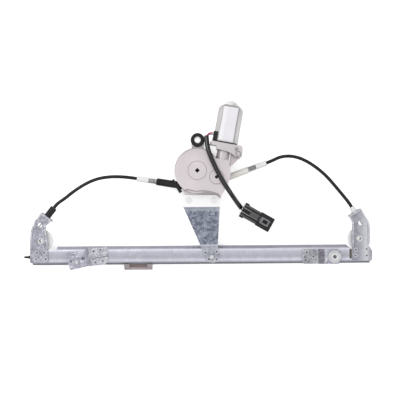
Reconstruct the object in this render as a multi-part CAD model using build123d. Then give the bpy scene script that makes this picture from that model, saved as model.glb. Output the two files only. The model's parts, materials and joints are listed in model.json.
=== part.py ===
"""Single-rail cable window regulator with its motor, lying on its back.

Frame: millimetres, origin on the front face of the rail's web at the central
mounting hole, +X along the rail, +Y towards the motor, +Z out of the door side.
"""
from build123d import *
import math
import os

# ---------------------------------------------------------------- levels (Z)
RAIL_SHEET = 1.5        # thickness of the rail's steel
PLATE = 2.0             # thickness of brackets and plates
CABLE_Z = -5.5          # plane of the cable, pulleys and drum
GROUND_Z = -17.0        # what the regulator lies on
COVER_BACK = 2.0        # joint between drum housing and gear cover
COVER = 2.0             # thickness of the gear cover
GEAR_BACK = COVER_BACK + COVER
GEAR_FRONT = 24.0       # front face of the gear housing
WORM_Z = 14.0           # plane of the worm axis

# ---------------------------------------------------------------- fits
FIT = 0.05              # pieces pushed together
RUN = 0.06              # radial clearance of a turning fit
SLIDE = 0.3             # clearance of sliding and soft pieces
CONTACT = 0.02          # faces that only lie on each other

# ---------------------------------------------------------------- rail
RAIL_LENGTH = 500.0
RAIL_LEFT = -265.5
RAIL_RIGHT = RAIL_LEFT + RAIL_LENGTH
RAIL_MID = 3.0          # middle height of the rail
RAIL_BODY = 21.4        # height across the two flanges
RAIL_HEIGHT = 27.5      # height across the two lips
RAIL_DEPTH = 11.5       # front of the web to the back of the lips
WEB_BEND = 3.5          # outer radius between web and flange
LIP_BEND = 1.6          # inner radius between flange and lip
RAIL_TOP = RAIL_MID + RAIL_BODY / 2
RAIL_FOOT = RAIL_MID - RAIL_BODY / 2
LIP_TOP = RAIL_MID + RAIL_HEIGHT / 2
LIP_FOOT = RAIL_MID - RAIL_HEIGHT / 2
LEFT_NOTCH_ROOM = 6.2   # from the left pulley's rim to the end of lip and flange
RIGHT_NOTCH_ROOM = 1.9
RIGHT_SLANT = 5.3       # run of the slanted cut at the right end
NOTCH_Y = 11.8          # height of the web's edge in the notches
FIX_HOLE_R = 3.2        # screw holes of the door fixings

# ---------------------------------------------------------------- cable and pulleys
CABLE_R = 0.75
CABLE_Y = 10.2          # height of the cable in the rail
PULLEY_PITCH_R = 15.6   # radius of the cable's centre round a pulley
PULLEY_R = 16.4
PULLEY_WIDTH = 7.0
PULLEY_WEB = 4.0
GROOVE_FLOOR_R = PULLEY_PITCH_R - CABLE_R - SLIDE
GROOVE_WIDTH = 2 * (CABLE_R + SLIDE)
PULLEY_Y = CABLE_Y + PULLEY_PITCH_R
LEFT_PULLEY_X = RAIL_LEFT + 14.1
RIGHT_PULLEY_X = RAIL_RIGHT - 16.7
RIVET_R = 3.7
RIVET_BORE_R = 2.4
RIVET_FLANGE_R = 6.0
RIVET_FLANGE = 1.6

# ---------------------------------------------------------------- end brackets
LEFT_CABLE_ANGLE = 51.5     # cable above the rail line, leaning right
RIGHT_CABLE_ANGLE = 121.5   # the same at the right end, leaning left
LEFT_SEAT_RUN = 33.5        # pulley tangent point to the seat of the conduit
RIGHT_SEAT_RUN = 36.6
LEFT_SEAT_SPAN = (-10.0, 9.0)   # ends of the seat, on both sides of the cable
RIGHT_SEAT_SPAN = (-9.5, 11.0)
SEAT_DEPTH = 11.0
SEAT_SLOT_R = 3.0
BRACKET_HOLE_R = 3.3
BRACKET_HOLE_Y = 22.8       # hole above the pulley's centre
RIM_WIDTH = 2.6             # raised border of a bracket
RIM_RISE = 0.8
END_WALL_GAP = 0.1          # rail's end to the bracket's end wall
END_WALL_FOOT, END_WALL_TOP = -5.4, 8.0
END_WALL_FRONT = 0.9        # the bend at its top is rounded off
CLINCH_R = 2.1
CLINCH_RISE = 0.5
CLINCH_POCKET_R = 1.1
CLINCH_POCKET = 1.6         # depth of the pocket in a clinched joint

# ---------------------------------------------------------------- conduits and their ends
CONDUIT_R = 2.5
LEFT_FERRULE_R = 5.0
LEFT_FERRULE_LENGTH = 16.0
RIGHT_FERRULE_R = 4.0
RIGHT_COLLAR_R = 5.5
RIGHT_COLLAR = 2.2
RIGHT_FERRULE_LENGTH = 8.5
CONDUIT_DEPTH = 5.0         # how far a conduit goes into its end ferrule
CABLE_BORE_R = CABLE_R + SLIDE
SPRING_R = 4.2
SPRING_WIRE = 1.0
SPRING_COILS = 5
LEFT_GUIDE_R = 5.3          # guide sleeves at the drum
RIGHT_GUIDE_R = 4.65
GUIDE_SPIGOT = 5.0          # how far a guide sleeve plugs into the drum housing
GUIDE_SPIGOT_WALL = 1.4     # how much thinner the spigot is
CLEAR_FERRULE_R = 4.2
CONDUIT_IN_GUIDE = 10.0
CONDUIT_STRAIGHT = 7.5          # straight stretch of a conduit beyond its clear ferrule

# ---------------------------------------------------------------- drum
GEAR_X, GEAR_Y = -20.2, 127.3   # axis of wheel and drum
DRUM_PITCH_R = 25.0             # radius of the cable's centre on the drum
DRUM_R = DRUM_PITCH_R + 1.2
DRUM_WIDTH = 10.0
DRUM_GROOVES = 3
LEFT_GUIDE_ANGLE = 170.7        # direction of the cable leaving to the left
RIGHT_GUIDE_ANGLE = 20.2        # direction of the cable leaving to the right
LEFT_GUIDE = (30.2, 57.1)       # sleeve, measured along the cable from the drum
LEFT_SPRING_END = 68.8
LEFT_CLEAR_END = 86.5
RIGHT_GUIDE = (35.0, 70.8)
RIGHT_SPRING_END = 82.9
RIGHT_CLEAR_END = 99.2
DRUM_CHAMBER_R = DRUM_R + 1.0
CASE_SCREW_RING = DRUM_CHAMBER_R + 4.0  # circle of the screws through both cases
WHEEL_CASE_R = CASE_SCREW_RING + 2.1
DRUM_CASE_R = WHEEL_CASE_R - 0.3
DRUM_CASE_FLOOR = 2.5

# ---------------------------------------------------------------- worm drive
MODULE = 0.8
WHEEL_TEETH = 70
WORM_PITCH_R = 5.0
WHEEL_PITCH_R = MODULE * WHEEL_TEETH / 2
AXIS_DISTANCE = WHEEL_PITCH_R + WORM_PITCH_R
TOOTH_PITCH = math.pi * MODULE
WHEEL_TOOTH = 0.95              # tooth thickness at the pitch circle
WORM_THREAD = 1.0
TOOTH_TIP = 0.75                # tip height above the pitch circle
TOOTH_ROOT = 1.0
PRESSURE_ANGLE = 20.0
WHEEL_FACE = 5.0
WORM_TURNS = 8
SHAFT_R = 3.0
OUTPUT_R = 4.0
CRANK_SQUARE = 5.1

# ---------------------------------------------------------------- gear housing
MOTOR_TILT = -10.5              # motor axis, turned from +Y
WHEEL_ROOM_R = WHEEL_PITCH_R + TOOTH_TIP + 0.45
WHEEL_ROOM_TOP = 18.0           # above it the room is narrower
UPPER_ROOM_R = 24.5
CASE_LEDGE = 20.0               # level of the ledge round the raised front
UPPER_CASE_R = WHEEL_CASE_R - 0.7
UPPER_CASE_DROP = 1.2           # the raised front is a little off the wheel's axis
CASE_WALL = 2.0
CENTRE_DISC_R = 13.2
SECOND_BOSS = (29.2, -4.5)
SECOND_BOSS_R = 9.7
DISC_RISE = 0.8
WORM_CASE_R = 9.6
WORM_ROOM_R = 6.6
WORM_ROOM_END = -22.0
NECK_BORE_R = 8.0
FLANGE_U = 46.2                 # motor face, from the wheel's axis
FLANGE_HALF_DEPTH = 13.5
FOOT_SPLIT = -WHEEL_CASE_R - 0.2    # where the foot flange begins, below the wheel's axis
BRUSH_ROOM = 4.8                # depth of the brush room in the flange
BRUSH_ROOM_R = 12.0
EAR = (-7.4, WHEEL_CASE_R + 10.8)
EAR_R = 9.7
EAR_BACK, EAR_FRONT = 6.0, 13.0
GROMMET_R = 10.3
GROMMET_WAIST_R = 7.5
GROMMET_LIP = 2.5
SLEEVE_R = 4.7
SLEEVE_BORE_R = 3.2
CASE_SCREW_R = 1.5

# ---------------------------------------------------------------- motor
CAN_R = 18.15
CAN_HALF_DEPTH = 14.5
CAN_WALL = 1.5
BRUSH_PLATE = 1.9
CAN_START = FLANGE_U + BRUSH_PLATE
CAN_END = 101.5
CAN_SHOULDER = 7.5              # length of the rounded shoulders
BOSS_R = 10.3
BOSS_END = 109.8
BOSS_DOME_R = 11.6              # ball that rounds the boss's end
BOSS_ROOM_R = 6.5
BOSS_ROOM_END = BOSS_END - 4.0
ROTOR_R = 10.8
ROTOR = (57.0, 88.0)
MAGNET_GAP = 0.8
COMMUTATOR_R = 5.5
COMMUTATOR = (FLANGE_U - 6.0, FLANGE_U + 4.6)
BRUSH_END = 11.5                # outer end of a brush, from the shaft
LABEL_WIDTH = 21.2
LABEL_LENGTH = 48.9
LABEL_INSET = 2.0               # from the can's start to the label
LABEL = 0.3

# ---------------------------------------------------------------- plates on the rail
BAND_BACK = GEAR_BACK + PLATE   # the band lies on the gear housing's foot flange
BAND_TOP_Y = GEAR_Y - WHEEL_CASE_R - 2.2
BAND_FOOT_Y = 74.0
PLATE_FOOT_Y = 17.5
LEFT_TAB_RISE = 4.0
LEFT_TAB_TILT = 11.0
RIGHT_RISE = 6.0

# ---------------------------------------------------------------- carrier
CARRIER_MID = -108.8
CARRIER_LENGTH = 41.7
CARRIER_PLATE = 2.0
HOOK_WIDTH = 7.8
HOOK_TOP = -9.5
HOOK_FOOT = -15.1
SHOE_FOOT = -18.7
NIPPLE_R = 1.7
NIPPLE_LENGTH = 7.0

# ---------------------------------------------------------------- harness
SHEATH_R = 3.4
LEAD_R = 0.8
PLUG_AT = (46.3, 69.7)      # middle of the connector's rear face
PLUG_ANGLE = -29.9
PLUG_LENGTH = 48.8
PLUG_WIDTH = 23.4
PLUG_HEIGHT = 20.0
PLUG_COLLAR = 6.0
PLUG_BODY_WIDTH = 19.6
PLUG_BODY_HEIGHT = 18.4
PLUG_FRONT_WIDTH = 21.8
PLUG_FRONT_HEIGHT = 17.4
PLUG_FRONT_LENGTH = 21.3
PLUG_WALL = 1.8

MOTOR = Pos(GEAR_X, GEAR_Y, 0) * Rot(0, 0, MOTOR_TILT)


# ---------------------------------------------------------------- shapes used again and again
def slab(left, right, foot, top, back, front):
    """A block given by its six faces."""
    middle = Pos((left + right) / 2, (foot + top) / 2, (back + front) / 2)
    return middle * Box(right - left, top - foot, front - back)


def disc(x, y, back, front, radius):
    """A cylinder standing on Z between two levels."""
    return Pos(x, y, (back + front) / 2) * Cylinder(radius, front - back)


def ring(x, y, back, front, outer, inner):
    return disc(x, y, back, front, outer) - disc(x, y, back - 1, front + 1, inner)


def sheet(points, back, front, corner=0.0):
    """A flat pressing with the closed outline given, its corners rounded."""
    if corner:
        edge = FilletPolyline(*points, radius=corner, close=True)
    else:
        edge = Polyline(*points, close=True)
    return extrude(Pos(0, 0, back) * make_face(edge), amount=front - back)


def rod(v, z, start, end, radius):
    """A cylinder along the motor's axis, in the motor's own frame."""
    return Pos(v, (start + end) / 2, z) * Rot(90, 0, 0) * Cylinder(radius, end - start)


def pin(start, end, radius):
    """A cylinder along local X, used on the cable lines."""
    return Pos((start + end) / 2, 0, 0) * Rot(0, 90, 0) * Cylinder(radius, end - start)


def folded(profile, width_from, width_to, outline, corner):
    """A folded plate: its side profile swept across, trimmed to the outline seen from the front."""
    strip = extrude(Plane.XZ * Pos(0, 0, -width_to) * make_face(Polyline(*profile, close=True)),
                    amount=width_to - width_from)
    return strip & sheet(outline, -40, 60, corner)


def clinched(plate, places, front):
    """A plate with clinched joints: each a low ring round a pocket."""
    for x, y in places:
        plate += disc(x, y, front, front + CLINCH_RISE, CLINCH_R)
    for x, y in places:
        plate -= disc(x, y, front + CLINCH_RISE - CLINCH_POCKET, front + 5, CLINCH_POCKET_R)
    return plate


def on_cable(origin, angle):
    """A frame on the cable plane with local X pointing along the cable."""
    return Pos(origin[0], origin[1], CABLE_Z) * Rot(0, 0, angle)


def along(origin, angle, distance):
    """The point at a distance along a direction in the cable plane."""
    turn = math.radians(angle)
    return (origin[0] + distance * math.cos(turn), origin[1] + distance * math.sin(turn))


def tangent_point(centre, radius, angle, side):
    """Where a cable running at an angle touches a wheel; side is +1 on its left hand."""
    turn = math.radians(angle)
    return (centre[0] - side * radius * math.sin(turn), centre[1] + side * radius * math.cos(turn))


def route_radii(points):
    """For each inner point, 0.45 of its shorter run over the tangent of half the turn."""
    radii = []
    for before, here, after in zip(points, points[1:], points[2:]):
        run_in = Vector(*here) - Vector(*before)
        run_out = Vector(*after) - Vector(*here)
        turn = math.radians(run_in.get_angle(run_out))
        radii.append(0.45 * min(run_in.length, run_out.length) / math.tan(turn / 2))
    return radii


def tube(name, points, radius):
    """A solid round cord along points, each corner as large an arc as its runs allow."""
    radii = route_radii(points)
    path = FilletPolyline(*points, radius=radii)
    start = Plane(origin=path @ 0, z_dir=path % 0)
    cord = sweep(start * Circle(radius), path=path)
    exact = math.pi * radius ** 2 * path.length
    print(f"{name}: length {path.length:.1f}, volume {cord.volume:.1f} of {exact:.1f}, radii",
          [round(r, 1) for r in radii])
    return cord


LEFT_PULLEY = (LEFT_PULLEY_X, PULLEY_Y)
RIGHT_PULLEY = (RIGHT_PULLEY_X, PULLEY_Y)
GEAR = (GEAR_X, GEAR_Y)
LEFT_TOUCH = tangent_point(LEFT_PULLEY, PULLEY_PITCH_R, LEFT_CABLE_ANGLE, 1)
RIGHT_TOUCH = tangent_point(RIGHT_PULLEY, PULLEY_PITCH_R, RIGHT_CABLE_ANGLE, -1)
LEFT_SEAT = along(LEFT_TOUCH, LEFT_CABLE_ANGLE, LEFT_SEAT_RUN)
RIGHT_SEAT = along(RIGHT_TOUCH, RIGHT_CABLE_ANGLE, RIGHT_SEAT_RUN)
LEFT_DRUM_TOUCH = tangent_point(GEAR, DRUM_PITCH_R, LEFT_GUIDE_ANGLE, 1)
RIGHT_DRUM_TOUCH = tangent_point(GEAR, DRUM_PITCH_R, RIGHT_GUIDE_ANGLE, -1)
LEFT_LINE = on_cable(LEFT_DRUM_TOUCH, LEFT_GUIDE_ANGLE)
RIGHT_LINE = on_cable(RIGHT_DRUM_TOUCH, RIGHT_GUIDE_ANGLE)


# ---------------------------------------------------------------- rail and what is fixed to it
def rail_section():
    """Hat section in the YZ plane, traced along the middle of the sheet."""
    half = RAIL_SHEET / 2
    back = half - RAIL_DEPTH
    middle = [(LIP_TOP, back), (RAIL_TOP - half, back), (RAIL_TOP - half, -half),
              (RAIL_FOOT + half, -half), (RAIL_FOOT + half, back), (LIP_FOOT, back)]
    web, lip = WEB_BEND - half, LIP_BEND + half
    line = FilletPolyline(*middle, radius=[lip, web, web, lip])
    return trace(line, line_width=RAIL_SHEET)


def guide_rail():
    rail = extrude(Plane.YZ * Pos(0, 0, RAIL_LEFT) * rail_section(), amount=RAIL_LENGTH)
    far = 60
    left_end = LEFT_PULLEY_X + PULLEY_R + LEFT_NOTCH_ROOM
    left_cut = slab(RAIL_LEFT - far, left_end, NOTCH_Y, far, -far, far)
    right_top = RIGHT_PULLEY_X - PULLEY_R - RIGHT_NOTCH_ROOM
    right_cut = sheet([(right_top, far), (right_top, LIP_TOP),
                       (right_top + RIGHT_SLANT, NOTCH_Y), (RAIL_RIGHT + far, NOTCH_Y),
                       (RAIL_RIGHT + far, far)], -far, far)
    rail -= left_cut + right_cut
    rail -= disc(0, 0, -far, far, FIX_HOLE_R)
    rail -= slab(*STOP_SLOT, -far, far)
    return rail


STOP_SLOT = (RAIL_RIGHT - 31.2, RAIL_RIGHT - 28.0, -3.5, 10.4)


def right_stop():
    """Rubber block in the channel that the carrier meets, with a nose through the web."""
    left, right, foot, top = STOP_SLOT
    under_cable = CABLE_Y - CABLE_R - 3 * SLIDE
    block = slab(left - 2, right + 2, foot - 1, under_cable, -9.5, -RAIL_SHEET - CONTACT)
    nose = slab(left + FIT, right - FIT, foot + FIT, top - FIT, -3, 0)
    return block + nose


def left_stop():
    """Rubber stop pulled through the bracket's end wall, with its arrow head and tail outside."""
    wall_out = LEFT_END_WALL[0] - CONTACT
    wall_in = LEFT_END_WALL[1] + CONTACT
    line = Pos(0, STOP_Y, CABLE_Z)
    body = slab(wall_in, wall_in + STOP_LENGTH, STOP_Y - 6, STOP_Y + 6, -9.6, -RAIL_SHEET - SLIDE)
    neck = line * pin(wall_out - 0.1, wall_in + 0.1, STOP_NECK_R)
    head = Pos(wall_out - 1.75, STOP_Y, CABLE_Z) * Rot(0, -90, 0) * Cone(3.55, 1.8, 3.5)
    tail = line * pin(wall_out - 9.5, wall_out - 3.4, 1.6)
    return body + neck + head + tail


STOP_Y = 1.4
STOP_NECK_R = 2.4
STOP_LENGTH = 24.0
LEFT_END_WALL = (RAIL_LEFT - END_WALL_GAP - PLATE, RAIL_LEFT - END_WALL_GAP)
RIGHT_END_WALL = (RAIL_RIGHT + END_WALL_GAP, RAIL_RIGHT + END_WALL_GAP + PLATE)
# Outlines: points measured from the pulley's centre, then points on the outer side
# measured along X from the end wall's outer face and along Y from the pulley.
LEFT_INNER_SIDE = [(16.1, 30.2), (6.9, 21.6), (8.3, 6.6), (9.7, -2.9), (10.4, -32.7)]
LEFT_OUTER_SIDE = [(0, -32.7), (0, 2.2), (0.8, 8.8), (1.4, 14.2), (3.0, 20.2), (7.4, 29.2),
                   (16.6, 41.9)]
RIGHT_INNER_SIDE = [(-15.0, 33.6), (-10.7, 24.5), (-10.7, -32.7)]
RIGHT_OUTER_SIDE = [(-0.6, -32.7), (-0.6, -17.0), (-4.9, -10.5), (-3.3, -6.4), (-3.3, 18.2),
                    (-4.7, 25.2), (-8.6, 32.2), (-16.3, 44.4)]
LEFT_CLINCHES = [(-5.8, -17.6), (4.6, -17.6), (-7.3, -27.1), (6.6, -27.1)]
RIGHT_CLINCHES = [(-5.4, -16.7), (10.7, -15.6), (-6.1, -25.2), (10.7, -25.2)]


def bracket_plate(outline):
    """Flat of a bracket with its raised border, which stops above the clinched foot."""
    plate = sheet(outline, 0, PLATE, 1.5)
    face = make_face(FilletPolyline(*outline, radius=1.5, close=True))
    border = face - offset(face, amount=-RIM_WIDTH, kind=Kind.INTERSECTION)
    border = extrude(Pos(0, 0, PLATE - 0.1) * border, amount=RIM_RISE + 0.1)
    return plate + (border & slab(-400, 400, RAIL_TOP, 200, 0, 20))


def end_bracket(pulley, outline, clinches, wall, seat, angle, span, hole_shift):
    """Pressed plate carrying a pulley, with a bent-back seat for the conduit and an end wall."""
    x, y = pulley
    plate = bracket_plate(outline)
    end_wall = slab(*wall, END_WALL_FOOT, END_WALL_TOP, -SEAT_DEPTH, END_WALL_FRONT)
    shelf = on_cable(seat, angle) * slab(-PLATE, 0, *span, -SEAT_DEPTH - CABLE_Z, PLATE - CABLE_Z)
    slot = on_cable(seat, angle) * Rot(0, 90, 0) * Cylinder(SEAT_SLOT_R, 4 * PLATE)
    slot += on_cable(seat, angle) * Pos(0, 0, -10) * Box(4 * PLATE, 2 * SEAT_SLOT_R, 20)
    bracket = plate + end_wall + (shelf - slot)
    if pulley == LEFT_PULLEY:
        bracket -= Pos(0, STOP_Y, CABLE_Z) * pin(wall[0] - 1, wall[1] + 1, STOP_NECK_R + FIT)
    bracket -= disc(x, y, -1, PLATE + 1, RIVET_R + FIT)
    bracket -= disc(x + hole_shift, y + BRACKET_HOLE_Y, -1, PLATE + 1, BRACKET_HOLE_R)
    return clinched(bracket, [(x + a, y + b) for a, b in clinches], PLATE)


def left_end_bracket():
    x, y = LEFT_PULLEY
    outline = [(x + a, y + b) for a, b in LEFT_INNER_SIDE]
    outline += [(LEFT_END_WALL[0] + a, y + b) for a, b in LEFT_OUTER_SIDE]
    return end_bracket(LEFT_PULLEY, outline, LEFT_CLINCHES, LEFT_END_WALL, LEFT_SEAT,
                       LEFT_CABLE_ANGLE, LEFT_SEAT_SPAN, -1.5)


def right_end_bracket():
    x, y = RIGHT_PULLEY
    outline = [(x + a, y + b) for a, b in RIGHT_INNER_SIDE]
    outline += [(RIGHT_END_WALL[1] + a, y + b) for a, b in RIGHT_OUTER_SIDE]
    return end_bracket(RIGHT_PULLEY, outline, RIGHT_CLINCHES, RIGHT_END_WALL, RIGHT_SEAT,
                       RIGHT_CABLE_ANGLE, RIGHT_SEAT_SPAN, 1.6)


def pulley(centre):
    """Nylon pulley: grooved rim, thinner web, hub on the rivet."""
    half = PULLEY_WIDTH / 2
    web = PULLEY_WEB / 2
    groove = GROOVE_WIDTH / 2
    hub, hub_out, rim_in = RIVET_R + RUN, RIVET_R + 3.0, GROOVE_FLOOR_R - 2.0
    outline = [(hub, -half), (hub_out, -half), (hub_out, -web), (rim_in, -web),
               (rim_in, -half + 0.6), (PULLEY_R, -half + 0.6), (GROOVE_FLOOR_R, -groove),
               (GROOVE_FLOOR_R, groove), (PULLEY_R, half - 0.6), (rim_in, half - 0.6),
               (rim_in, web), (hub_out, web), (hub_out, half), (hub, half)]
    wheel = revolve(Plane.XZ * make_face(Polyline(*outline, close=True)), Axis.Z)
    return Pos(*centre, CABLE_Z) * wheel


def pulley_rivet(centre):
    """Tubular rivet: flared rim in front of the plate, flange behind the pulley."""
    back = CABLE_Z - PULLEY_WIDTH / 2 - 0.3
    rivet = disc(*centre, back - RIVET_FLANGE, PLATE + 0.6, RIVET_R)
    rivet += disc(*centre, back - RIVET_FLANGE, back, RIVET_FLANGE_R)
    rivet += disc(*centre, PLATE + CONTACT, PLATE + 0.6, RIVET_R + 1.0)
    return rivet - disc(*centre, -40, 40, RIVET_BORE_R)


def motor_plate():
    """Plate from the gear housing's foot flange down to the rail."""
    drop = BAND_BACK
    profile = [(100, drop), (BAND_FOOT_Y, drop), (PLATE_FOOT_Y, 0), (-20, 0),
               (-20, PLATE), (PLATE_FOOT_Y, PLATE), (BAND_FOOT_Y, drop + PLATE), (100, drop + PLATE)]
    side = extrude(Plane.YZ * Pos(0, 0, -60) * make_face(Polyline(*profile, close=True)), amount=100)
    outline = [(-39.5, BAND_TOP_Y), (7.2, BAND_TOP_Y - 0.4), (11.6, 86.9), (12.3, 73.7),
               (10.9, 50.2), (9.1, 17.3), (11.7, 2.1), (8.9, -5.8), (1.6, -8.9), (-7.1, -6.4),
               (-12.0, 4.0), (-16.5, 17.5), (-41.3, 74.1), (-45.2, 83.4)]
    plate = side & sheet(outline, -40, 60, 1.2)
    plate -= disc(0, 0, -5, 10, FIX_HOLE_R)
    for x, y in BAND_RIVETS:
        plate -= disc(x, y, 0, 20, BAND_RIVET_R + FIT)
    return clinched(plate, [(-8.9, 6.7), (7.4, 8.1), (-4.4, -3.2), (7.0, -3.0)], PLATE)


BAND_RIVETS = [(-33.2, 84.0), (3.5, 83.5)]
BAND_RIVET_R = 2.6
BAND_RIVET_HEAD_R = 4.7


def plate_rivets():
    """Rivets through the band and the gear housing's foot flange."""
    rivets = []
    for x, y in BAND_RIVETS:
        front = BAND_BACK + PLATE
        shank = disc(x, y, GEAR_BACK - 1.2, front + 1.2, BAND_RIVET_R)
        head = disc(x, y, front + CONTACT, front + 1.2, BAND_RIVET_HEAD_R)
        tail = disc(x, y, GEAR_BACK - 1.2, GEAR_BACK - CONTACT, BAND_RIVET_HEAD_R - 0.7)
        rivets.append(shank + head + tail)
    return Compound(rivets)


def left_mount():
    """Forked clinched base and a raised tab turned a little, with a folded top edge."""
    rise = LEFT_TAB_RISE
    place = Pos(LEFT_MOUNT_X, 0, 0) * Rot(0, 0, LEFT_TAB_TILT)
    profile = [(-40, rise), (-3, rise), (5, 0), (40, 0), (40, PLATE), (5.6, PLATE),
               (-2.4, rise + PLATE), (-40, rise + PLATE)]
    strip = extrude(Plane.XZ * make_face(Polyline(*profile, close=True)), amount=40, both=True)
    outline = [(-32.1, 6.0), (-4.7, 11.0), (-3.2, 15.0), (27.5, 16.4), (28.7, 13.6), (28.7, 2.8),
               (29.8, -4.2), (24.8, -9.6), (7.6, -11.4), (0.4, -11.8), (-26.5, -17.8)]
    fold = [(-31.4, 6.0), (-5.4, 10.8), (-5.0, 8.9), (-31.0, 4.1)]
    prong = [(2.6, -1.6), (5.2, 0.6), (11.2, 2.2), (28.0, 5.0), (28.2, 3.6), (11.6, 0.8),
             (6.0, -0.6), (3.8, -2.4)]
    fork = [(6.2, -1.4), (11.8, 0.4), (40, 4.9), (40, 3.7), (12.0, -0.8), (6.6, -2.4)]
    origin = Pos(LEFT_MOUNT_X, 0, 0)
    plate = (place * strip) & (origin * sheet(outline, -40, 60, 1.5))
    plate += origin * sheet(fold, rise + PLATE - 0.1, rise + PLATE + 0.8)
    plate += origin * (sheet(prong, PLATE - 0.5, PLATE + 1.2) - sheet(fork, 0, 20))
    plate -= origin * sheet(fork, -20, 20)
    for x, y, radius in LEFT_TAB_HOLES:
        plate -= origin * disc(x, y, -10, 20, radius)
    plate += origin * disc(-16.8, -5.1, rise + PLATE, rise + PLATE + 1.2, 3.6)
    clinches = [(8.2, 9.9), (18.1, 12.0), (10.6, -6.5), (21.5, -4.6)]
    return clinched(plate, [(LEFT_MOUNT_X + x, y) for x, y in clinches], PLATE)


LEFT_MOUNT_X = RAIL_LEFT + 83.5     # where the tab begins to rise
LEFT_TAB_HOLES = [(-24.8, -4.0, 1.9), (-6.9, -0.5, 2.4)]
RIGHT_STUD = (RAIL_RIGHT - 54.2, -0.5)
RIGHT_STEP = (-23.3, -14.3)         # foot and top of the right mount's step, from its stud
INSERT_R = 4.5


def right_mount():
    """Plate with a lip, a step up and a round end that holds the threaded insert."""
    rise = RIGHT_RISE
    stud, middle = RIGHT_STUD
    foot, top = RIGHT_STEP
    profile = [(-60, 0), (foot, 0), (top, rise), (20, rise), (20, rise + PLATE),
               (top - 0.8, rise + PLATE), (foot - 0.8, PLATE), (-60, PLATE)]
    profile = [(stud + x, z) for x, z in profile]
    outline = [(-46.6, -10.4), (-46.6, 11.2), (6.7, 11.2), (9.7, 6.5), (9.7, -6.0), (6.7, -10.6)]
    outline = [(stud + x, middle + y) for x, y in outline]
    plate = folded(profile, -20, 20, outline, 2.0)
    plate += slab(stud - 46.5, stud - 44.8, middle - 8.6, middle + 9.4, PLATE - 0.1, PLATE + 1.2)
    plate -= disc(*RIGHT_STUD, 0, 20, INSERT_R + FIT)
    clinches = [(-40.3, 6.7), (-30.4, 0.3), (-42.0, -5.2)]
    return clinched(plate, [(stud + x, middle + y) for x, y in clinches], PLATE)


def mount_insert():
    """Flanged threaded insert of the right mount."""
    front = RIGHT_RISE + PLATE
    x, y = RIGHT_STUD
    insert = disc(x, y, front + CONTACT, front + 1.6, 9.3)
    insert += disc(x, y, front + 1.6, front + 4.0, 5.6)
    insert += disc(x, y, RIGHT_RISE - 1.5, front + 1.6, INSERT_R)
    return insert - disc(x, y, 0, 20, 2.5)


# ---------------------------------------------------------------- conduits, ferrules, cable
def left_ferrule():
    """Black ferrule standing on the left bracket's seat."""
    body = pin(CONTACT, LEFT_FERRULE_LENGTH, LEFT_FERRULE_R)
    body += pin(-PLATE, CONTACT, SEAT_SLOT_R - FIT)
    body -= pin(LEFT_FERRULE_LENGTH - CONDUIT_DEPTH, 40, CONDUIT_R + FIT)
    body -= pin(-10, 40, CABLE_BORE_R)
    return on_cable(LEFT_SEAT, LEFT_CABLE_ANGLE) * body


def right_ferrule():
    """White stepped ferrule on the right bracket's seat."""
    body = pin(CONTACT, RIGHT_COLLAR, RIGHT_COLLAR_R)
    body += pin(RIGHT_COLLAR, RIGHT_FERRULE_LENGTH, RIGHT_FERRULE_R)
    body += pin(-PLATE, CONTACT, SEAT_SLOT_R - FIT)
    body -= pin(RIGHT_FERRULE_LENGTH - CONDUIT_DEPTH, 40, CONDUIT_R + FIT)
    body -= pin(-10, 40, CABLE_BORE_R)
    return on_cable(RIGHT_SEAT, RIGHT_CABLE_ANGLE) * body


def guide_sleeve(line, span, radius):
    """Sleeve plugged into the drum housing: it leads the cable in and holds the conduit's end."""
    body = pin(*span, radius)
    body += pin(span[0] - GUIDE_SPIGOT, span[0] + 1, radius - GUIDE_SPIGOT_WALL)
    body -= pin(span[0] - GUIDE_SPIGOT - 1, span[1] + 1, CABLE_BORE_R)
    body -= pin(span[1] - CONDUIT_IN_GUIDE - 1, span[1] + 1, CONDUIT_R + SLIDE)
    return line * body


def tension_spring(line, start, end):
    """Take-up spring over the conduit, as a sleeve with one rib for each coil."""
    inner = CONDUIT_R + SLIDE
    start, end = start + CONTACT, end - CONTACT
    pitch = (end - start) / SPRING_COILS
    outline = [(start, inner)]
    for coil in range(SPRING_COILS):
        left = start + coil * pitch
        outline += [(left, SPRING_R - SPRING_WIRE / 2), (left + pitch / 2, SPRING_R)]
    outline += [(end, SPRING_R - SPRING_WIRE / 2), (end, inner)]
    return line * revolve(make_face(Polyline(*outline, close=True)), Axis.X)


def clear_ferrule(line, start, end):
    """Clear ferrule the spring pushes on."""
    body = pin(start, end, CLEAR_FERRULE_R) - pin(start - 1, end + 1, CONDUIT_R + FIT)
    return line * body


def conduit_points(line_origin, guide_angle, guide_end, clear_end, route, seat, angle, length):
    """Route of a conduit: straight out of its guide, round by its route, straight into the ferrule."""
    first = along(line_origin, guide_angle, guide_end - CONDUIT_IN_GUIDE)
    clear = along(line_origin, guide_angle, clear_end + CONDUIT_STRAIGHT)
    last = along(seat, angle, length - CONDUIT_DEPTH)
    points = [first, clear] + route + [along(seat, angle, length + 8.0), last]
    return [(x, y, CABLE_Z) for x, y in points]


LEFT_ROUTE = [(-133.5, 119.6), (-150.5, 119.6), (-166.0, 117.3), (-179.5, 112.6), (-192.5, 105.6),
              (-205.5, 96.8), (-217.0, 87.6)]
RIGHT_ROUTE = [(103.0, 147.4), (117.5, 148.5), (131.5, 145.4), (144.5, 138.9), (157.5, 130.0),
               (170.5, 118.6), (184.0, 103.0)]


def left_conduit():
    points = conduit_points(LEFT_DRUM_TOUCH, LEFT_GUIDE_ANGLE, LEFT_GUIDE[1], LEFT_CLEAR_END,
                            LEFT_ROUTE, LEFT_SEAT, LEFT_CABLE_ANGLE, LEFT_FERRULE_LENGTH)
    return tube("left_conduit", points, CONDUIT_R)


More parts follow.
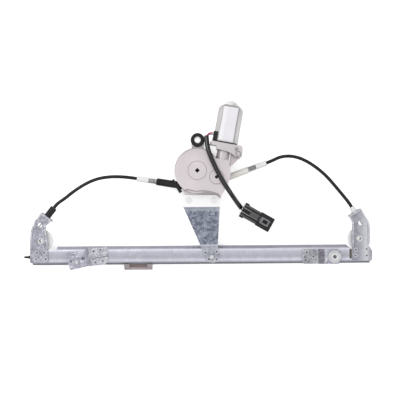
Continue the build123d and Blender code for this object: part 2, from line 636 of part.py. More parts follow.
def right_conduit():
    points = conduit_points(RIGHT_DRUM_TOUCH, RIGHT_GUIDE_ANGLE, RIGHT_GUIDE[1], RIGHT_CLEAR_END,
                            RIGHT_ROUTE, RIGHT_SEAT, RIGHT_CABLE_ANGLE, RIGHT_FERRULE_LENGTH)
    return tube("right_conduit", points, CONDUIT_R)


def drive_cable():
    """The bare cable: seat to pulley, round it, along the rail, round the other and up."""
    left_top = along(LEFT_SEAT, LEFT_CABLE_ANGLE, LEFT_FERRULE_LENGTH - CONDUIT_DEPTH - SLIDE)
    right_top = along(RIGHT_SEAT, RIGHT_CABLE_ANGLE, RIGHT_FERRULE_LENGTH - CONDUIT_DEPTH - SLIDE)
    down = Line(left_top, LEFT_TOUCH)
    left_arc = CenterArc(LEFT_PULLEY, PULLEY_PITCH_R, 90 + LEFT_CABLE_ANGLE,
                         180 - LEFT_CABLE_ANGLE)
    run = Line((LEFT_PULLEY_X, CABLE_Y), (RIGHT_PULLEY_X, CABLE_Y))
    right_arc = CenterArc(RIGHT_PULLEY, PULLEY_PITCH_R, 270, RIGHT_CABLE_ANGLE)
    up = Line(RIGHT_TOUCH, right_top)
    path = Pos(0, 0, CABLE_Z) * Wire([down, left_arc, run, right_arc, up])
    start = Plane(origin=path @ 0, z_dir=path % 0)
    return sweep(start * Circle(CABLE_R), path=path)


# ---------------------------------------------------------------- drum side
def drum_housing():
    """Black cup round the drum, with a block for each guide sleeve and a rib at its left."""
    back = GROUND_Z
    case = disc(0, 0, back, COVER_BACK - CONTACT, DRUM_CASE_R)
    case = Pos(*GEAR, 0) * case
    arms = ((LEFT_LINE, LEFT_GUIDE[0], LEFT_GUIDE_R), (RIGHT_LINE, RIGHT_GUIDE[0], RIGHT_GUIDE_R))
    for line, end, radius in arms:
        case += line * pin(0, end - CONTACT, radius)
    case += sheet([(-58.2, 113.2), (-55.2, 115.6), (-42.6, 97.0), (-46.6, 94.2)], -9, 1.0)
    case -= disc(*GEAR, back + DRUM_CASE_FLOOR, 20, DRUM_CHAMBER_R)
    for line, end, radius in arms:
        case -= line * pin(0, end + 1, CABLE_BORE_R)
        spigot = radius - GUIDE_SPIGOT_WALL + FIT
        case -= line * pin(end - GUIDE_SPIGOT - CONTACT, end + 1, spigot)
        case -= line * pin(end - CONTACT, end + 20, radius + FIT)
    case += disc(*GEAR, back, back + DRUM_CASE_FLOOR + 1.5, 9)
    case -= disc(*GEAR, back + DRUM_CASE_FLOOR, 20, OUTPUT_R + RUN)
    for x, y in case_screw_places():
        case -= disc(x, y, back - 1, 20, CASE_SCREW_R + FIT)
        case -= disc(x, y, back - 1, back + 2.0, 2 * CASE_SCREW_R)
    return case


def case_screw_places():
    return [(GEAR_X + CASE_SCREW_RING * math.cos(math.radians(a)),
             GEAR_Y + CASE_SCREW_RING * math.sin(math.radians(a))) for a in (60, 165, 285)]


def housing_screws():
    """Screws that hold drum housing, gear cover and gear housing together, from behind."""
    screws = []
    for x, y in case_screw_places():
        head = disc(x, y, GROUND_Z + 0.2, GROUND_Z + 2.0 - CONTACT, 2 * CASE_SCREW_R - FIT)
        screws.append(head + disc(x, y, GROUND_Z + 0.2, GEAR_BACK + 10, CASE_SCREW_R))
    return Compound(screws)


def cable_drum():
    """Grooved drum keyed on the output shaft."""
    back = CABLE_Z - DRUM_WIDTH / 2
    front = CABLE_Z + DRUM_WIDTH / 2
    groove = 2 * (CABLE_R + 0.3)
    gap = (DRUM_WIDTH - DRUM_GROOVES * groove) / (DRUM_GROOVES + 1)
    outline = [(OUTPUT_R + FIT, back), (DRUM_R, back)]
    for turn in range(DRUM_GROOVES):
        low = back + gap + turn * (groove + gap)
        outline += [(DRUM_R, low), (DRUM_PITCH_R - CABLE_R, low + groove / 2), (DRUM_R, low + groove)]
    outline += [(DRUM_R, front), (DRUM_R - 3, front), (DRUM_R - 3, front - 4), (9, front - 4),
                (9, front), (OUTPUT_R + FIT, front)]
    drum = revolve(Plane.XZ * make_face(Polyline(*outline, close=True)), Axis.Z)
    for spoke in range(6):
        drum -= Rot(0, 0, 60 * spoke) * disc(16, 0, back - 1, front + 1, 4.0)
    return Pos(*GEAR, 0) * drum


def output_shaft():
    """Shaft from drum to wheel, with a square socket in its front end."""
    shaft = disc(*GEAR, GROUND_Z + DRUM_CASE_FLOOR + CONTACT, GEAR_FRONT - CASE_WALL - 0.5, OUTPUT_R)
    socket = Pos(*GEAR, GEAR_FRONT - CASE_WALL) * Rot(0, 0, 45) * Box(4.4, 4.4, 16)
    return shaft - socket


def gear_cover():
    """Back plate of the gear room, with the hub the shaft turns in."""
    cover = disc(*GEAR, COVER_BACK, GEAR_BACK - CONTACT, WHEEL_CASE_R)
    cover += disc(*GEAR, COVER_BACK, GEAR_BACK + 2.0, 9)
    cover -= disc(*GEAR, -5, 20, OUTPUT_R + RUN)
    for x, y in case_screw_places():
        cover -= disc(x, y, 0, 10, CASE_SCREW_R + FIT)
    return cover


# ---------------------------------------------------------------- gear housing and worm drive
WORM_SIDE = [(20.6, 21.8), (40.4, 23.1), (44.9, 16.1), (48.6, 4.0), (48.7, -5.1), (46.8, -12.8),
             (43.4, -24.3)]
FOOT_EDGE = [(39.7, -31.0), (35.7, -27.5), (24.6, -26.3), (15.5, -26.5), (8.5, -28.2),
             (1.5, -29.9), (-4.2, -29.1), (-9.7, -29.0), (-12.1, -30.5)]


def housing_body():
    """Wheel case with its raised front, worm case, neck and motor flange, all die-cast."""
    back, front = GEAR_BACK, GEAR_FRONT
    lower = disc(0, 0, back, CASE_LEDGE, WHEEL_CASE_R)
    lower += sheet([(6, 21.5)] + WORM_SIDE + [(39.9, -30.4), (30, -28.4), (6, -28)],
                   back, CASE_LEDGE, 2.0)
    upper = disc(0, -UPPER_CASE_DROP, CASE_LEDGE - 1, front, UPPER_CASE_R)
    upper += sheet([(0, 20.5), (6, 21.5)] + WORM_SIDE + [(39.7, -31.0), (0, -31.0)],
                   CASE_LEDGE - 1, front)
    upper &= sheet([(-60, 60), (60, 60), (60, -31.0)] + FOOT_EDGE + [(-20, -31.5), (-60, -31.5)],
                   CASE_LEDGE - 1, front)
    barrel = rod(AXIS_DISTANCE, WORM_Z, WORM_ROOM_END - 3, FLANGE_U - 2, WORM_CASE_R)
    flange = [(11.0, 0), (57.5, 0), (58.6, -2.1), (59.7, -8.3), (58.2, -16.8), (50.3, -16.8),
              (48.1, -14.9), (37.4, -11.3), (28.2, -10.7), (21.8, -10.5), (21.0, -6.0),
              (12.9, -5.6), (13.4, -3.4)]
    flange = sheet([(v, FLANGE_U + u) for v, u in flange],
                   WORM_Z - FLANGE_HALF_DEPTH, WORM_Z + FLANGE_HALF_DEPTH, 0.8)
    gusset = sheet([(44, 12), (46.7, 13.7), (51.1, 19.5), (58.2, 29.6), (58.2, 33.5), (44, 34)],
                   back + 0.5, back + 6.5)
    return lower + upper + barrel + flange + gusset


def housing_details():
    """Ear, raised discs and screw boss added to the housing."""
    front = GEAR_FRONT
    ear = disc(*EAR, EAR_BACK, EAR_FRONT, EAR_R)
    root = WHEEL_CASE_R - 3.3
    ear += sheet([(EAR[0] - EAR_R, EAR[1]), (EAR[0] + EAR_R, EAR[1]), (5.0, root), (5.0, root - 4),
                  (-13.7, root - 4), (-13.7, root)], EAR_BACK, EAR_FRONT)
    step = sheet([(-22, -20), (-11.4, FOOT_SPLIT), (12.8, -31.8), (35.7, -28.5), (41.0, -30.4),
                  (38, -16)], GEAR_BACK, GEAR_BACK + 9)
    centre = disc(0, 0, front - 1, front + DISC_RISE, CENTRE_DISC_R)
    second = disc(*SECOND_BOSS, front - 1, front + 1.4, SECOND_BOSS_R)
    boss_place, boss_end = MOTOR_SCREWS[1], MOTOR_SCREW_SEATS[1]
    screw_boss = rod(boss_place, WORM_Z, boss_end, FLANGE_U - 4, MOTOR_SCREW_HEAD_R + 1.6)
    return ear + step + centre + second + screw_boss


def foot_flange():
    """The thin flange under the motor plate's band, before it is parted from the case."""
    return sheet([(-20, -25), (-13.4, -36.6), (-10.0, -46.0), (-6.0, -49.0), (30.0, -45.0),
                  (36.0, -42.0), (41.8, -30.8), (35, -24)],
                 GEAR_BACK, GEAR_BACK + PLATE - CONTACT, 2.0)


def housing_rooms():
    """Everything hollow in the housing: wheel room, worm bore, neck, holes."""
    rooms = disc(0, 0, 0, WHEEL_ROOM_TOP, WHEEL_ROOM_R)
    rooms += disc(0, 0, 0, GEAR_FRONT - CASE_WALL, UPPER_ROOM_R)
    rooms += rod(AXIS_DISTANCE, WORM_Z, WORM_ROOM_END, 38, WORM_ROOM_R)
    rooms += rod(AXIS_DISTANCE, WORM_Z, 29, FLANGE_U, NECK_BORE_R)
    rooms += rod(AXIS_DISTANCE, WORM_Z, FLANGE_U - BRUSH_ROOM, FLANGE_U + 10, BRUSH_ROOM_R)
    rooms += Pos(0, 0, GEAR_FRONT) * Rot(0, 0, 45 - MOTOR_TILT) * Box(CRANK_SQUARE, CRANK_SQUARE, 20)
    rooms += disc(*SECOND_BOSS, GEAR_FRONT - 1.2, 40, 2.5)
    rooms += disc(*EAR, -10, 40, GROMMET_WAIST_R + FIT)
    return rooms


def gear_housing():
    top_journal = ring(0, 0, GEAR_FRONT - CASE_WALL - 3.5, GEAR_FRONT - CASE_WALL, 9, OUTPUT_R + RUN)
    root = foot_flange() & slab(-60, 60, FOOT_SPLIT, 0, 0, 20)
    housing = housing_body() + housing_details() + root - housing_rooms() + top_journal
    housing = MOTOR * housing
    for x, y in case_screw_places():
        housing -= disc(x, y, 0, GEAR_BACK + 10.5, CASE_SCREW_R + FIT)
    for place in MOTOR_SCREWS:
        housing -= MOTOR * rod(place, WORM_Z, 24, 60, MOTOR_SCREW_R + FIT)
    for place, seat in zip(MOTOR_SCREWS, MOTOR_SCREW_SEATS):
        housing -= MOTOR * rod(place, WORM_Z, seat - 16, seat, MOTOR_SCREW_HEAD_R + 0.6)
    return housing


def housing_foot():
    """Foot flange of the die casting, riveted to the motor plate's band."""
    foot = MOTOR * (foot_flange() & slab(-60, 60, -60, FOOT_SPLIT, 0, 20))
    for x, y in BAND_RIVETS:
        foot -= disc(x, y, 0, GEAR_BACK + PLATE, BAND_RIVET_R + FIT)
    return foot


MOTOR_SCREWS = (13.2, 56.0)
MOTOR_SCREW_SEATS = (FLANGE_U - 4.2, FLANGE_U - 16.0)
MOTOR_SCREW_R = 1.6
MOTOR_SCREW_HEAD_R = 2.6


def motor_screws():
    """Two screws up through the motor flange, heads on the gear side."""
    screws = []
    for place, seat in zip(MOTOR_SCREWS, MOTOR_SCREW_SEATS):
        head = rod(place, WORM_Z, seat - 2.4, seat - CONTACT, MOTOR_SCREW_HEAD_R)
        screws.append(MOTOR * (head + rod(place, WORM_Z, seat - 2.4, FLANGE_U - 1, MOTOR_SCREW_R)))
    return Compound(screws)


def worm_wheel():
    """Moulded wheel: rim with teeth, thin web with the damper's window, hub."""
    angle = 360 / WHEEL_TEETH
    slope = math.tan(math.radians(PRESSURE_ANGLE))
    tip = WHEEL_TOOTH / 2 - TOOTH_TIP * slope
    root = WHEEL_TOOTH / 2 + TOOTH_ROOT * slope
    root_r, tip_r = WHEEL_PITCH_R - TOOTH_ROOT, WHEEL_PITCH_R + TOOTH_TIP
    outline = []
    for tooth in range(WHEEL_TEETH):
        turn = math.radians(angle * (tooth + 0.5))
        for radius, side in ((root_r, -root), (tip_r, -tip), (tip_r, tip), (root_r, root)):
            outline.append((radius * math.cos(turn) - side * math.sin(turn),
                            radius * math.sin(turn) + side * math.cos(turn)))
    half = WHEEL_FACE / 2
    rim = sheet(outline, WORM_Z - half, WORM_Z + half)
    wheel = rim - disc(0, 0, 0, 30, 24.5)
    wheel += ring(0, 0, WORM_Z - 1.5, WORM_Z + 1.5, 24.6, OUTPUT_R + FIT)
    wheel += ring(0, 0, WORM_Z - 5, WORM_Z + 4.3, 8.5, OUTPUT_R + FIT)
    for window in range(3):
        wheel -= Rot(0, 0, 120 * window) * disc(16, 0, 0, 30, DAMPER_R)
    return MOTOR * wheel


DAMPER_R = 4.0


def wheel_dampers():
    """Rubber cushions between wheel and drum drive."""
    pads = [Rot(0, 0, 120 * n) * disc(16, 0, WORM_Z - 3, WORM_Z + 3, DAMPER_R - FIT) for n in range(3)]
    return Compound([MOTOR * pad for pad in pads])


def worm_thread():
    """One right-hand thread along +u, its middle turn facing the wheel."""
    slope = math.tan(math.radians(PRESSURE_ANGLE))
    root_r, tip_r = WORM_PITCH_R - TOOTH_ROOT - 0.1, WORM_PITCH_R + TOOTH_TIP
    wide = WORM_THREAD / 2 + (WORM_PITCH_R - root_r) * slope
    narrow = WORM_THREAD / 2 - TOOTH_TIP * slope
    height = WORM_TURNS * TOOTH_PITCH
    path = Helix(pitch=TOOTH_PITCH, height=height, radius=root_r)
    tooth = Polyline((root_r, -wide), (tip_r, -narrow), (tip_r, narrow), (root_r, wide), close=True)
    thread = sweep(Plane.XZ * make_face(tooth), path=path, is_frenet=True)
    return Pos(0, 0, -height / 2) * thread


def armature_shaft():
    """Motor shaft with the worm cut on its lower end."""
    worm = Plane(origin=(AXIS_DISTANCE, 0, WORM_Z), x_dir=(-1, 0, 0), z_dir=(0, 1, 0)) * worm_thread()
    worm_half = WORM_TURNS * TOOTH_PITCH / 2 + 1.5
    core = rod(AXIS_DISTANCE, WORM_Z, -worm_half, worm_half, WORM_PITCH_R - TOOTH_ROOT)
    shaft = rod(AXIS_DISTANCE, WORM_Z, WORM_ROOM_END + 0.4, BOSS_ROOM_END - 0.3, SHAFT_R)
    return MOTOR * (shaft + core + worm)


def shaft_bushes():
    """Sintered bushes: at the worm's tip, in the neck and in the can's end."""
    places = [(WORM_ROOM_END, -15.5, WORM_ROOM_R), (29.0, 36.0, NECK_BORE_R),
              (CAN_END + 1.2, BOSS_ROOM_END, BOSS_ROOM_R)]
    bushes = []
    for start, end, outer in places:
        bush = rod(AXIS_DISTANCE, WORM_Z, start + CONTACT, end, outer - FIT)
        bushes.append(MOTOR * (bush - rod(AXIS_DISTANCE, WORM_Z, start - 1, end + 1, SHAFT_R + RUN)))
    return Compound(bushes)


def vent_plug():
    return MOTOR * disc(*SECOND_BOSS, GEAR_FRONT - 1.2 + CONTACT, GEAR_FRONT + 0.4, 2.5 - FIT)


def mount_grommet():
    """Rubber spool in the housing's ear."""
    spool = disc(*EAR, EAR_BACK - GROMMET_LIP, EAR_FRONT + GROMMET_LIP, GROMMET_WAIST_R)
    spool += disc(*EAR, EAR_FRONT + CONTACT, EAR_FRONT + GROMMET_LIP, GROMMET_R)
    spool += disc(*EAR, EAR_BACK - GROMMET_LIP, EAR_BACK - CONTACT, GROMMET_R)
    return MOTOR * (spool - disc(*EAR, -20, 40, SLEEVE_R + FIT))


def grommet_sleeve():
    reach = GROMMET_LIP + 0.5
    return MOTOR * ring(*EAR, EAR_BACK - reach, EAR_FRONT + reach, SLEEVE_R, SLEEVE_BORE_R)


# ---------------------------------------------------------------- motor
def can_solid(radius, half_depth, start, end):
    """Round bar with flats front and back, along the motor's axis."""
    bar = rod(AXIS_DISTANCE, WORM_Z, start, end, radius)
    flats = slab(-60, 120, start, end, WORM_Z - half_depth, WORM_Z + half_depth)
    return bar & flats


def motor_can():
    """Deep-drawn can with rounded shoulders and the bearing cup on its end."""
    shell = can_solid(CAN_R, CAN_HALF_DEPTH, CAN_START, CAN_END)
    half = [(30, -60), (30, -7.5), (18.4, -7.5), (17.0, -4.3), (14.0, -1.3), (10.0, 0)]
    outline = [(AXIS_DISTANCE + v, CAN_END + u) for v, u in half]
    outline += [(AXIS_DISTANCE - v, CAN_END + u) for v, u in reversed(half)]
    shell &= sheet(outline, -40, 60)
    cup = rod(AXIS_DISTANCE, WORM_Z, CAN_END - 1, BOSS_END, BOSS_R)
    cup &= Pos(AXIS_DISTANCE, BOSS_END - BOSS_DOME_R, WORM_Z) * Sphere(BOSS_DOME_R)
    notch = AXIS_DISTANCE + 4.3
    cup -= slab(notch - 2, notch + 2, CAN_END + 1.2, CAN_END + 6.6, WORM_Z + 8.2, 60)
    inside = can_solid(CAN_R - CAN_WALL, CAN_HALF_DEPTH - CAN_WALL, CAN_START - 1,
                       CAN_END - CAN_SHOULDER)
    cup_room = rod(AXIS_DISTANCE, WORM_Z, CAN_START, BOSS_ROOM_END, BOSS_ROOM_R)
    return MOTOR * (shell + cup - inside - cup_room)


def brush_holder():
    """Black plate between can and flange, with the wire block on the can's shoulder."""
    plate = can_solid(CAN_R - 0.2, CAN_HALF_DEPTH - 0.2, FLANGE_U + CONTACT, CAN_START - CONTACT)
    plate -= rod(AXIS_DISTANCE, WORM_Z, 40, 60, COMMUTATOR_R + 1.5)
    block = slab(13.8, 20.5, FLANGE_U + CONTACT, 60.8, WORM_Z - 2, WORM_Z + 13.5)
    block -= can_solid(CAN_R + FIT, CAN_HALF_DEPTH + FIT, CAN_START - CONTACT, 120)
    return MOTOR * (plate + block)


def brushes():
    """Carbon brushes on both sides of the commutator."""
    pair = []
    for side in (-1, 1):
        near, far = COMMUTATOR_R + RUN, BRUSH_END
        low, high = sorted((side * near, side * far))
        pair.append(MOTOR * slab(AXIS_DISTANCE + low, AXIS_DISTANCE + high, FLANGE_U - 4.3,
                                 FLANGE_U - 0.3, WORM_Z - 2, WORM_Z + 2))
    return Compound(pair)


def magnets():
    """Two curved magnets on the round sides of the can."""
    inner, outer = ROTOR_R + MAGNET_GAP, CAN_R - CAN_WALL - FIT
    tube_wall = rod(AXIS_DISTANCE, WORM_Z, ROTOR[0] - 2, ROTOR[1] + 2, outer)
    tube_wall -= rod(AXIS_DISTANCE, WORM_Z, 0, 200, inner)
    pair = []
    for side in (-1, 1):
        low, high = sorted((side * 6.0, side * 40.0))
        window = slab(AXIS_DISTANCE + low, AXIS_DISTANCE + high, 0, 200, WORM_Z - 10, WORM_Z + 10)
        pair.append(MOTOR * (tube_wall & window))
    return Compound(pair)


def rotor_core():
    """Stack of laminations with eight winding slots."""
    core = rod(AXIS_DISTANCE, WORM_Z, *ROTOR, ROTOR_R) - rod(AXIS_DISTANCE, WORM_Z, 0, 200, SHAFT_R + FIT)
    for slot in range(8):
        turn = Pos(AXIS_DISTANCE, 0, WORM_Z) * Rot(0, 45 * slot, 0)
        core -= turn * Pos(ROTOR_R - 2.2, sum(ROTOR) / 2, 0) * Box(5, 60, 2.4)
    return MOTOR * core


def armature_windings():
    """Copper heads of the winding at both ends of the core."""
    heads = []
    for start, end in ((ROTOR[0] - 6, ROTOR[0] - CONTACT), (ROTOR[1] + CONTACT, ROTOR[1] + 4.5)):
        head = rod(AXIS_DISTANCE, WORM_Z, start, end, ROTOR_R - 1.6)
        heads.append(MOTOR * (head - rod(AXIS_DISTANCE, WORM_Z, 0, 200, SHAFT_R + FIT)))
    return Compound(heads)


def commutator():
    body = rod(AXIS_DISTANCE, WORM_Z, *COMMUTATOR, COMMUTATOR_R)
    return MOTOR * (body - rod(AXIS_DISTANCE, WORM_Z, 0, 200, SHAFT_R + FIT))


def motor_label():
    front = WORM_Z + CAN_HALF_DEPTH
    middle = AXIS_DISTANCE
    start = CAN_START + LABEL_INSET
    return MOTOR * slab(middle - LABEL_WIDTH / 2, middle + LABEL_WIDTH / 2, start,
                        start + LABEL_LENGTH, front + CONTACT, front + LABEL)


# ---------------------------------------------------------------- carrier
def carrier_plate():
    """Steel lift plate behind the slider, with the glass screw's hole."""
    half = CARRIER_LENGTH / 2 - 2
    back = GROUND_Z
    plate = slab(CARRIER_MID - half, CARRIER_MID + half, SHOE_FOOT + 1.2, LIP_TOP - 1,
                 back, back + CARRIER_PLATE)
    plate = fillet(plate.edges().filter_by(Axis.Z), 3)
    plate -= disc(CARRIER_MID, RAIL_MID, back - 1, 0, GLASS_NUT_R)
    for x, y in carrier_rivet_places():
        plate -= disc(x, y, back - 1, 0, CARRIER_RIVET_R + FIT)
    return plate


GLASS_NUT_R = 3.0
CARRIER_RIVET_R = 2.0
SLIDER_BACK = GROUND_Z + CARRIER_PLATE + CONTACT
LIP_BACK = -RAIL_DEPTH
CHANNEL_TOP = RAIL_TOP - RAIL_SHEET
CHANNEL_FOOT = RAIL_FOOT + RAIL_SHEET


def carrier_rivet_places():
    return [(CARRIER_MID - 13, RAIL_MID + 4), (CARRIER_MID + 13, RAIL_MID - 4)]


def carrier_slider():
    """Plastic slider: block in the channel, shoe behind the lips, hooks round the lower lip."""
    left, right = CARRIER_MID - CARRIER_LENGTH / 2, CARRIER_MID + CARRIER_LENGTH / 2
    behind = LIP_BACK - SLIDE
    shoe = slab(left, right, SHOE_FOOT, LIP_TOP - 2, SLIDER_BACK, behind)
    block = slab(left, right, CHANNEL_FOOT + 2.4, CHANNEL_TOP - SLIDE, behind, -RAIL_SHEET - SLIDE)
    body = shoe + block
    body += slab(left, right, SHOE_FOOT, HOOK_FOOT, SLIDER_BACK, -9.7)
    for start in (left, right - HOOK_WIDTH):
        body += slab(start, start + HOOK_WIDTH, HOOK_FOOT, LIP_FOOT - SLIDE, SLIDER_BACK, -7.0)
        body += slab(start, start + HOOK_WIDTH, HOOK_FOOT, HOOK_TOP, -RAIL_DEPTH + RAIL_SHEET + SLIDE, -7.0)
    body -= slab(left - 1, right + 1, CABLE_Y - CABLE_BORE_R, 20, CABLE_Z - CABLE_BORE_R, 20)
    for start in (left + 4, right - 4 - NIPPLE_LENGTH):
        body -= slab(start, start + NIPPLE_LENGTH, CABLE_Y - NIPPLE_R - 0.1, 20,
                     CABLE_Z - NIPPLE_R - 0.1, 20)
    body -= disc(CARRIER_MID, RAIL_MID, -30, behind + 4, 5.6)
    for x, y in carrier_rivet_places():
        body -= disc(x, y, -30, SLIDER_BACK + 6.1, CARRIER_RIVET_R + FIT)
    return body


def carrier_rivets():
    """Rivets that join lift plate and slider; their heads are flush in the plate."""
    rivets = [disc(x, y, GROUND_Z + 0.1, SLIDER_BACK + 6.0, CARRIER_RIVET_R)
              for x, y in carrier_rivet_places()]
    return Compound(rivets)


def glass_nut():
    """Weld nut on the lift plate for the glass screw."""
    hexagon = extrude(Pos(CARRIER_MID, RAIL_MID, SLIDER_BACK) * RegularPolygon(5.4, 6), amount=5)
    return hexagon - disc(CARRIER_MID, RAIL_MID, -30, 0, GLASS_NUT_R)


def carrier_pad():
    """Brown wear pad under the lower lip, between the hooks."""
    left = CARRIER_MID - CARRIER_LENGTH / 2 + HOOK_WIDTH + FIT
    right = CARRIER_MID + CARRIER_LENGTH / 2 - HOOK_WIDTH - FIT
    return slab(left, right, HOOK_FOOT + FIT, LIP_FOOT - SLIDE, LIP_BACK - SLIDE + CONTACT, -9.2)


def cable_nipples():
    """The crimped cable ends held in the slider's pockets."""
    pair = []
    left = CARRIER_MID - CARRIER_LENGTH / 2 + 4
    right = CARRIER_MID + CARRIER_LENGTH / 2 - 4 - NIPPLE_LENGTH
    for start in (left, right):
        nipple = pin(start + 0.1, start + NIPPLE_LENGTH - 0.1, NIPPLE_R)
        nipple -= pin(start - 1, start + NIPPLE_LENGTH + 1, CABLE_BORE_R)
        pair.append(Pos(0, CABLE_Y, CABLE_Z) * nipple)
    return Compound(pair)


# ---------------------------------------------------------------- harness
PLUG = Pos(*PLUG_AT, GROUND_Z + PLUG_HEIGHT / 2) * Rot(0, 0, PLUG_ANGLE)


TERMINAL_SIDES = (-4, 4)


PLUG_REAR = PLUG_LENGTH - PLUG_FRONT_LENGTH
PLUG_BODY_TOP = PLUG_BODY_HEIGHT - PLUG_HEIGHT / 2
PLUG_FRONT_TOP = PLUG_FRONT_HEIGHT - PLUG_HEIGHT / 2
RIDGE_Y = 6.2


def plug_body():
    """Connector: rear collar, ridged body, a groove, and an open front shroud with side rails."""
    floor = -PLUG_HEIGHT / 2
    side, front_side = PLUG_BODY_WIDTH / 2, PLUG_FRONT_WIDTH / 2
    collar = slab(0, PLUG_COLLAR, -PLUG_WIDTH / 2, PLUG_WIDTH / 2, floor, PLUG_HEIGHT / 2)
    collar = fillet(collar.edges().filter_by(Axis.X), 4.5)
    body = slab(1, PLUG_REAR, -side, side, floor, PLUG_BODY_TOP)
    shroud = slab(PLUG_REAR, PLUG_LENGTH, -front_side, front_side, floor, PLUG_FRONT_TOP)
    shroud = fillet(shroud.edges().filter_by(Axis.X), 2.5)
    room = slab(PLUG_REAR + 1, PLUG_LENGTH + 1, PLUG_WALL - front_side, front_side - PLUG_WALL,
                floor + PLUG_WALL, PLUG_FRONT_TOP - PLUG_WALL)
    body = collar + fillet(body.edges().filter_by(Axis.X), 2.5) + shroud - room
    body -= slab(PLUG_REAR - 1.8, PLUG_REAR - 0.4, -20, 20, PLUG_BODY_TOP - 1.2, 20)
    for middle in (-RIDGE_Y, RIDGE_Y):
        body += slab(PLUG_COLLAR, PLUG_REAR - 1.8, middle - 1, middle + 1, PLUG_BODY_TOP - 1,
                     PLUG_BODY_TOP + 1.4)
    for middle in (2.6 - front_side, front_side - 2.6):
        body += slab(PLUG_REAR + 1, PLUG_LENGTH, middle - 1.4, middle + 1.4, PLUG_FRONT_TOP - 1,
                     PLUG_FRONT_TOP + 1.3)
    body -= pin(-1, 8.0, SHEATH_R - 0.9)
    for middle in TERMINAL_SIDES:
        body -= Pos(PLUG_REAR - 5, middle, 0) * Box(16, 1.8 + 2 * FIT, 0.8 + 2 * FIT)
    return PLUG * body


def plug_terminals():
    """Two blade terminals in the connector."""
    blades = [PLUG * Pos(PLUG_REAR + 1, side, 0) * Box(26, 1.8, 0.8) for side in TERMINAL_SIDES]
    return Compound(blades)


def plug_lock():
    """Lock: raised pad on the body, and on the shroud the springy frame with its window."""
    pad = slab(12.5, PLUG_REAR - 2.2, -3.6, 3.6, PLUG_BODY_TOP + CONTACT, PLUG_BODY_TOP + 2.0)
    neck = slab(PLUG_REAR - 2.4, PLUG_REAR + 4, -1.6, 1.6, PLUG_BODY_TOP + CONTACT,
                PLUG_BODY_TOP + 1.4)
    frame = slab(PLUG_REAR + 2.5, PLUG_LENGTH - 4.5, -5.2, 5.2, PLUG_FRONT_TOP + CONTACT,
                 PLUG_FRONT_TOP + 2.4)
    window = slab(PLUG_REAR + 6.5, PLUG_LENGTH - 7.5, -2.6, 2.6, PLUG_FRONT_TOP - 1, 20)
    return PLUG * (pad + neck + frame - window)


SHEATH_ROUTE = [(-6.5, 177.2, 21.0), (-6.2, 166.0, 24.5), (-3.0, 153.0, 28.0), (2.4, 139.6, 29.4),
                (10.0, 123.5, 29.4), (18.8, 108.0, 28.4), (27.2, 95.2, 24.5), (35.6, 83.2, 11.0),
                (43.6, 72.5, -3.0)]


def harness_sheath():
    return tube("harness_sheath", SHEATH_ROUTE, SHEATH_R)


LEAD_ROUTES = [[(3.7, 182.0, 22.4), (-1.2, 182.7, 22.4), (-6.6, 181.1, 21.4), (-7.5, 177.55, 20.9)],
               [(3.3, 179.6, 20.6), (-0.8, 180.3, 20.6), (-4.9, 179.9, 20.9), (-5.8, 177.55, 20.9)],
               [(44.42, 72.9, -3.18), (45.5, 71.5, -5.6), (48.1, 69.8, -7.0), (51.1, 68.05, -7.0)],
               [(42.98, 71.82, -3.18), (44.0, 70.4, -5.6), (47.15, 68.15, -7.0),
                (50.2, 66.4, -7.0)]]


def harness_leads():
    """The two wires where they show: motor block to sheath, and sheath to connector."""
    return Compound([tube(f"lead {n}", points, LEAD_R) for n, points in enumerate(LEAD_ROUTES)])


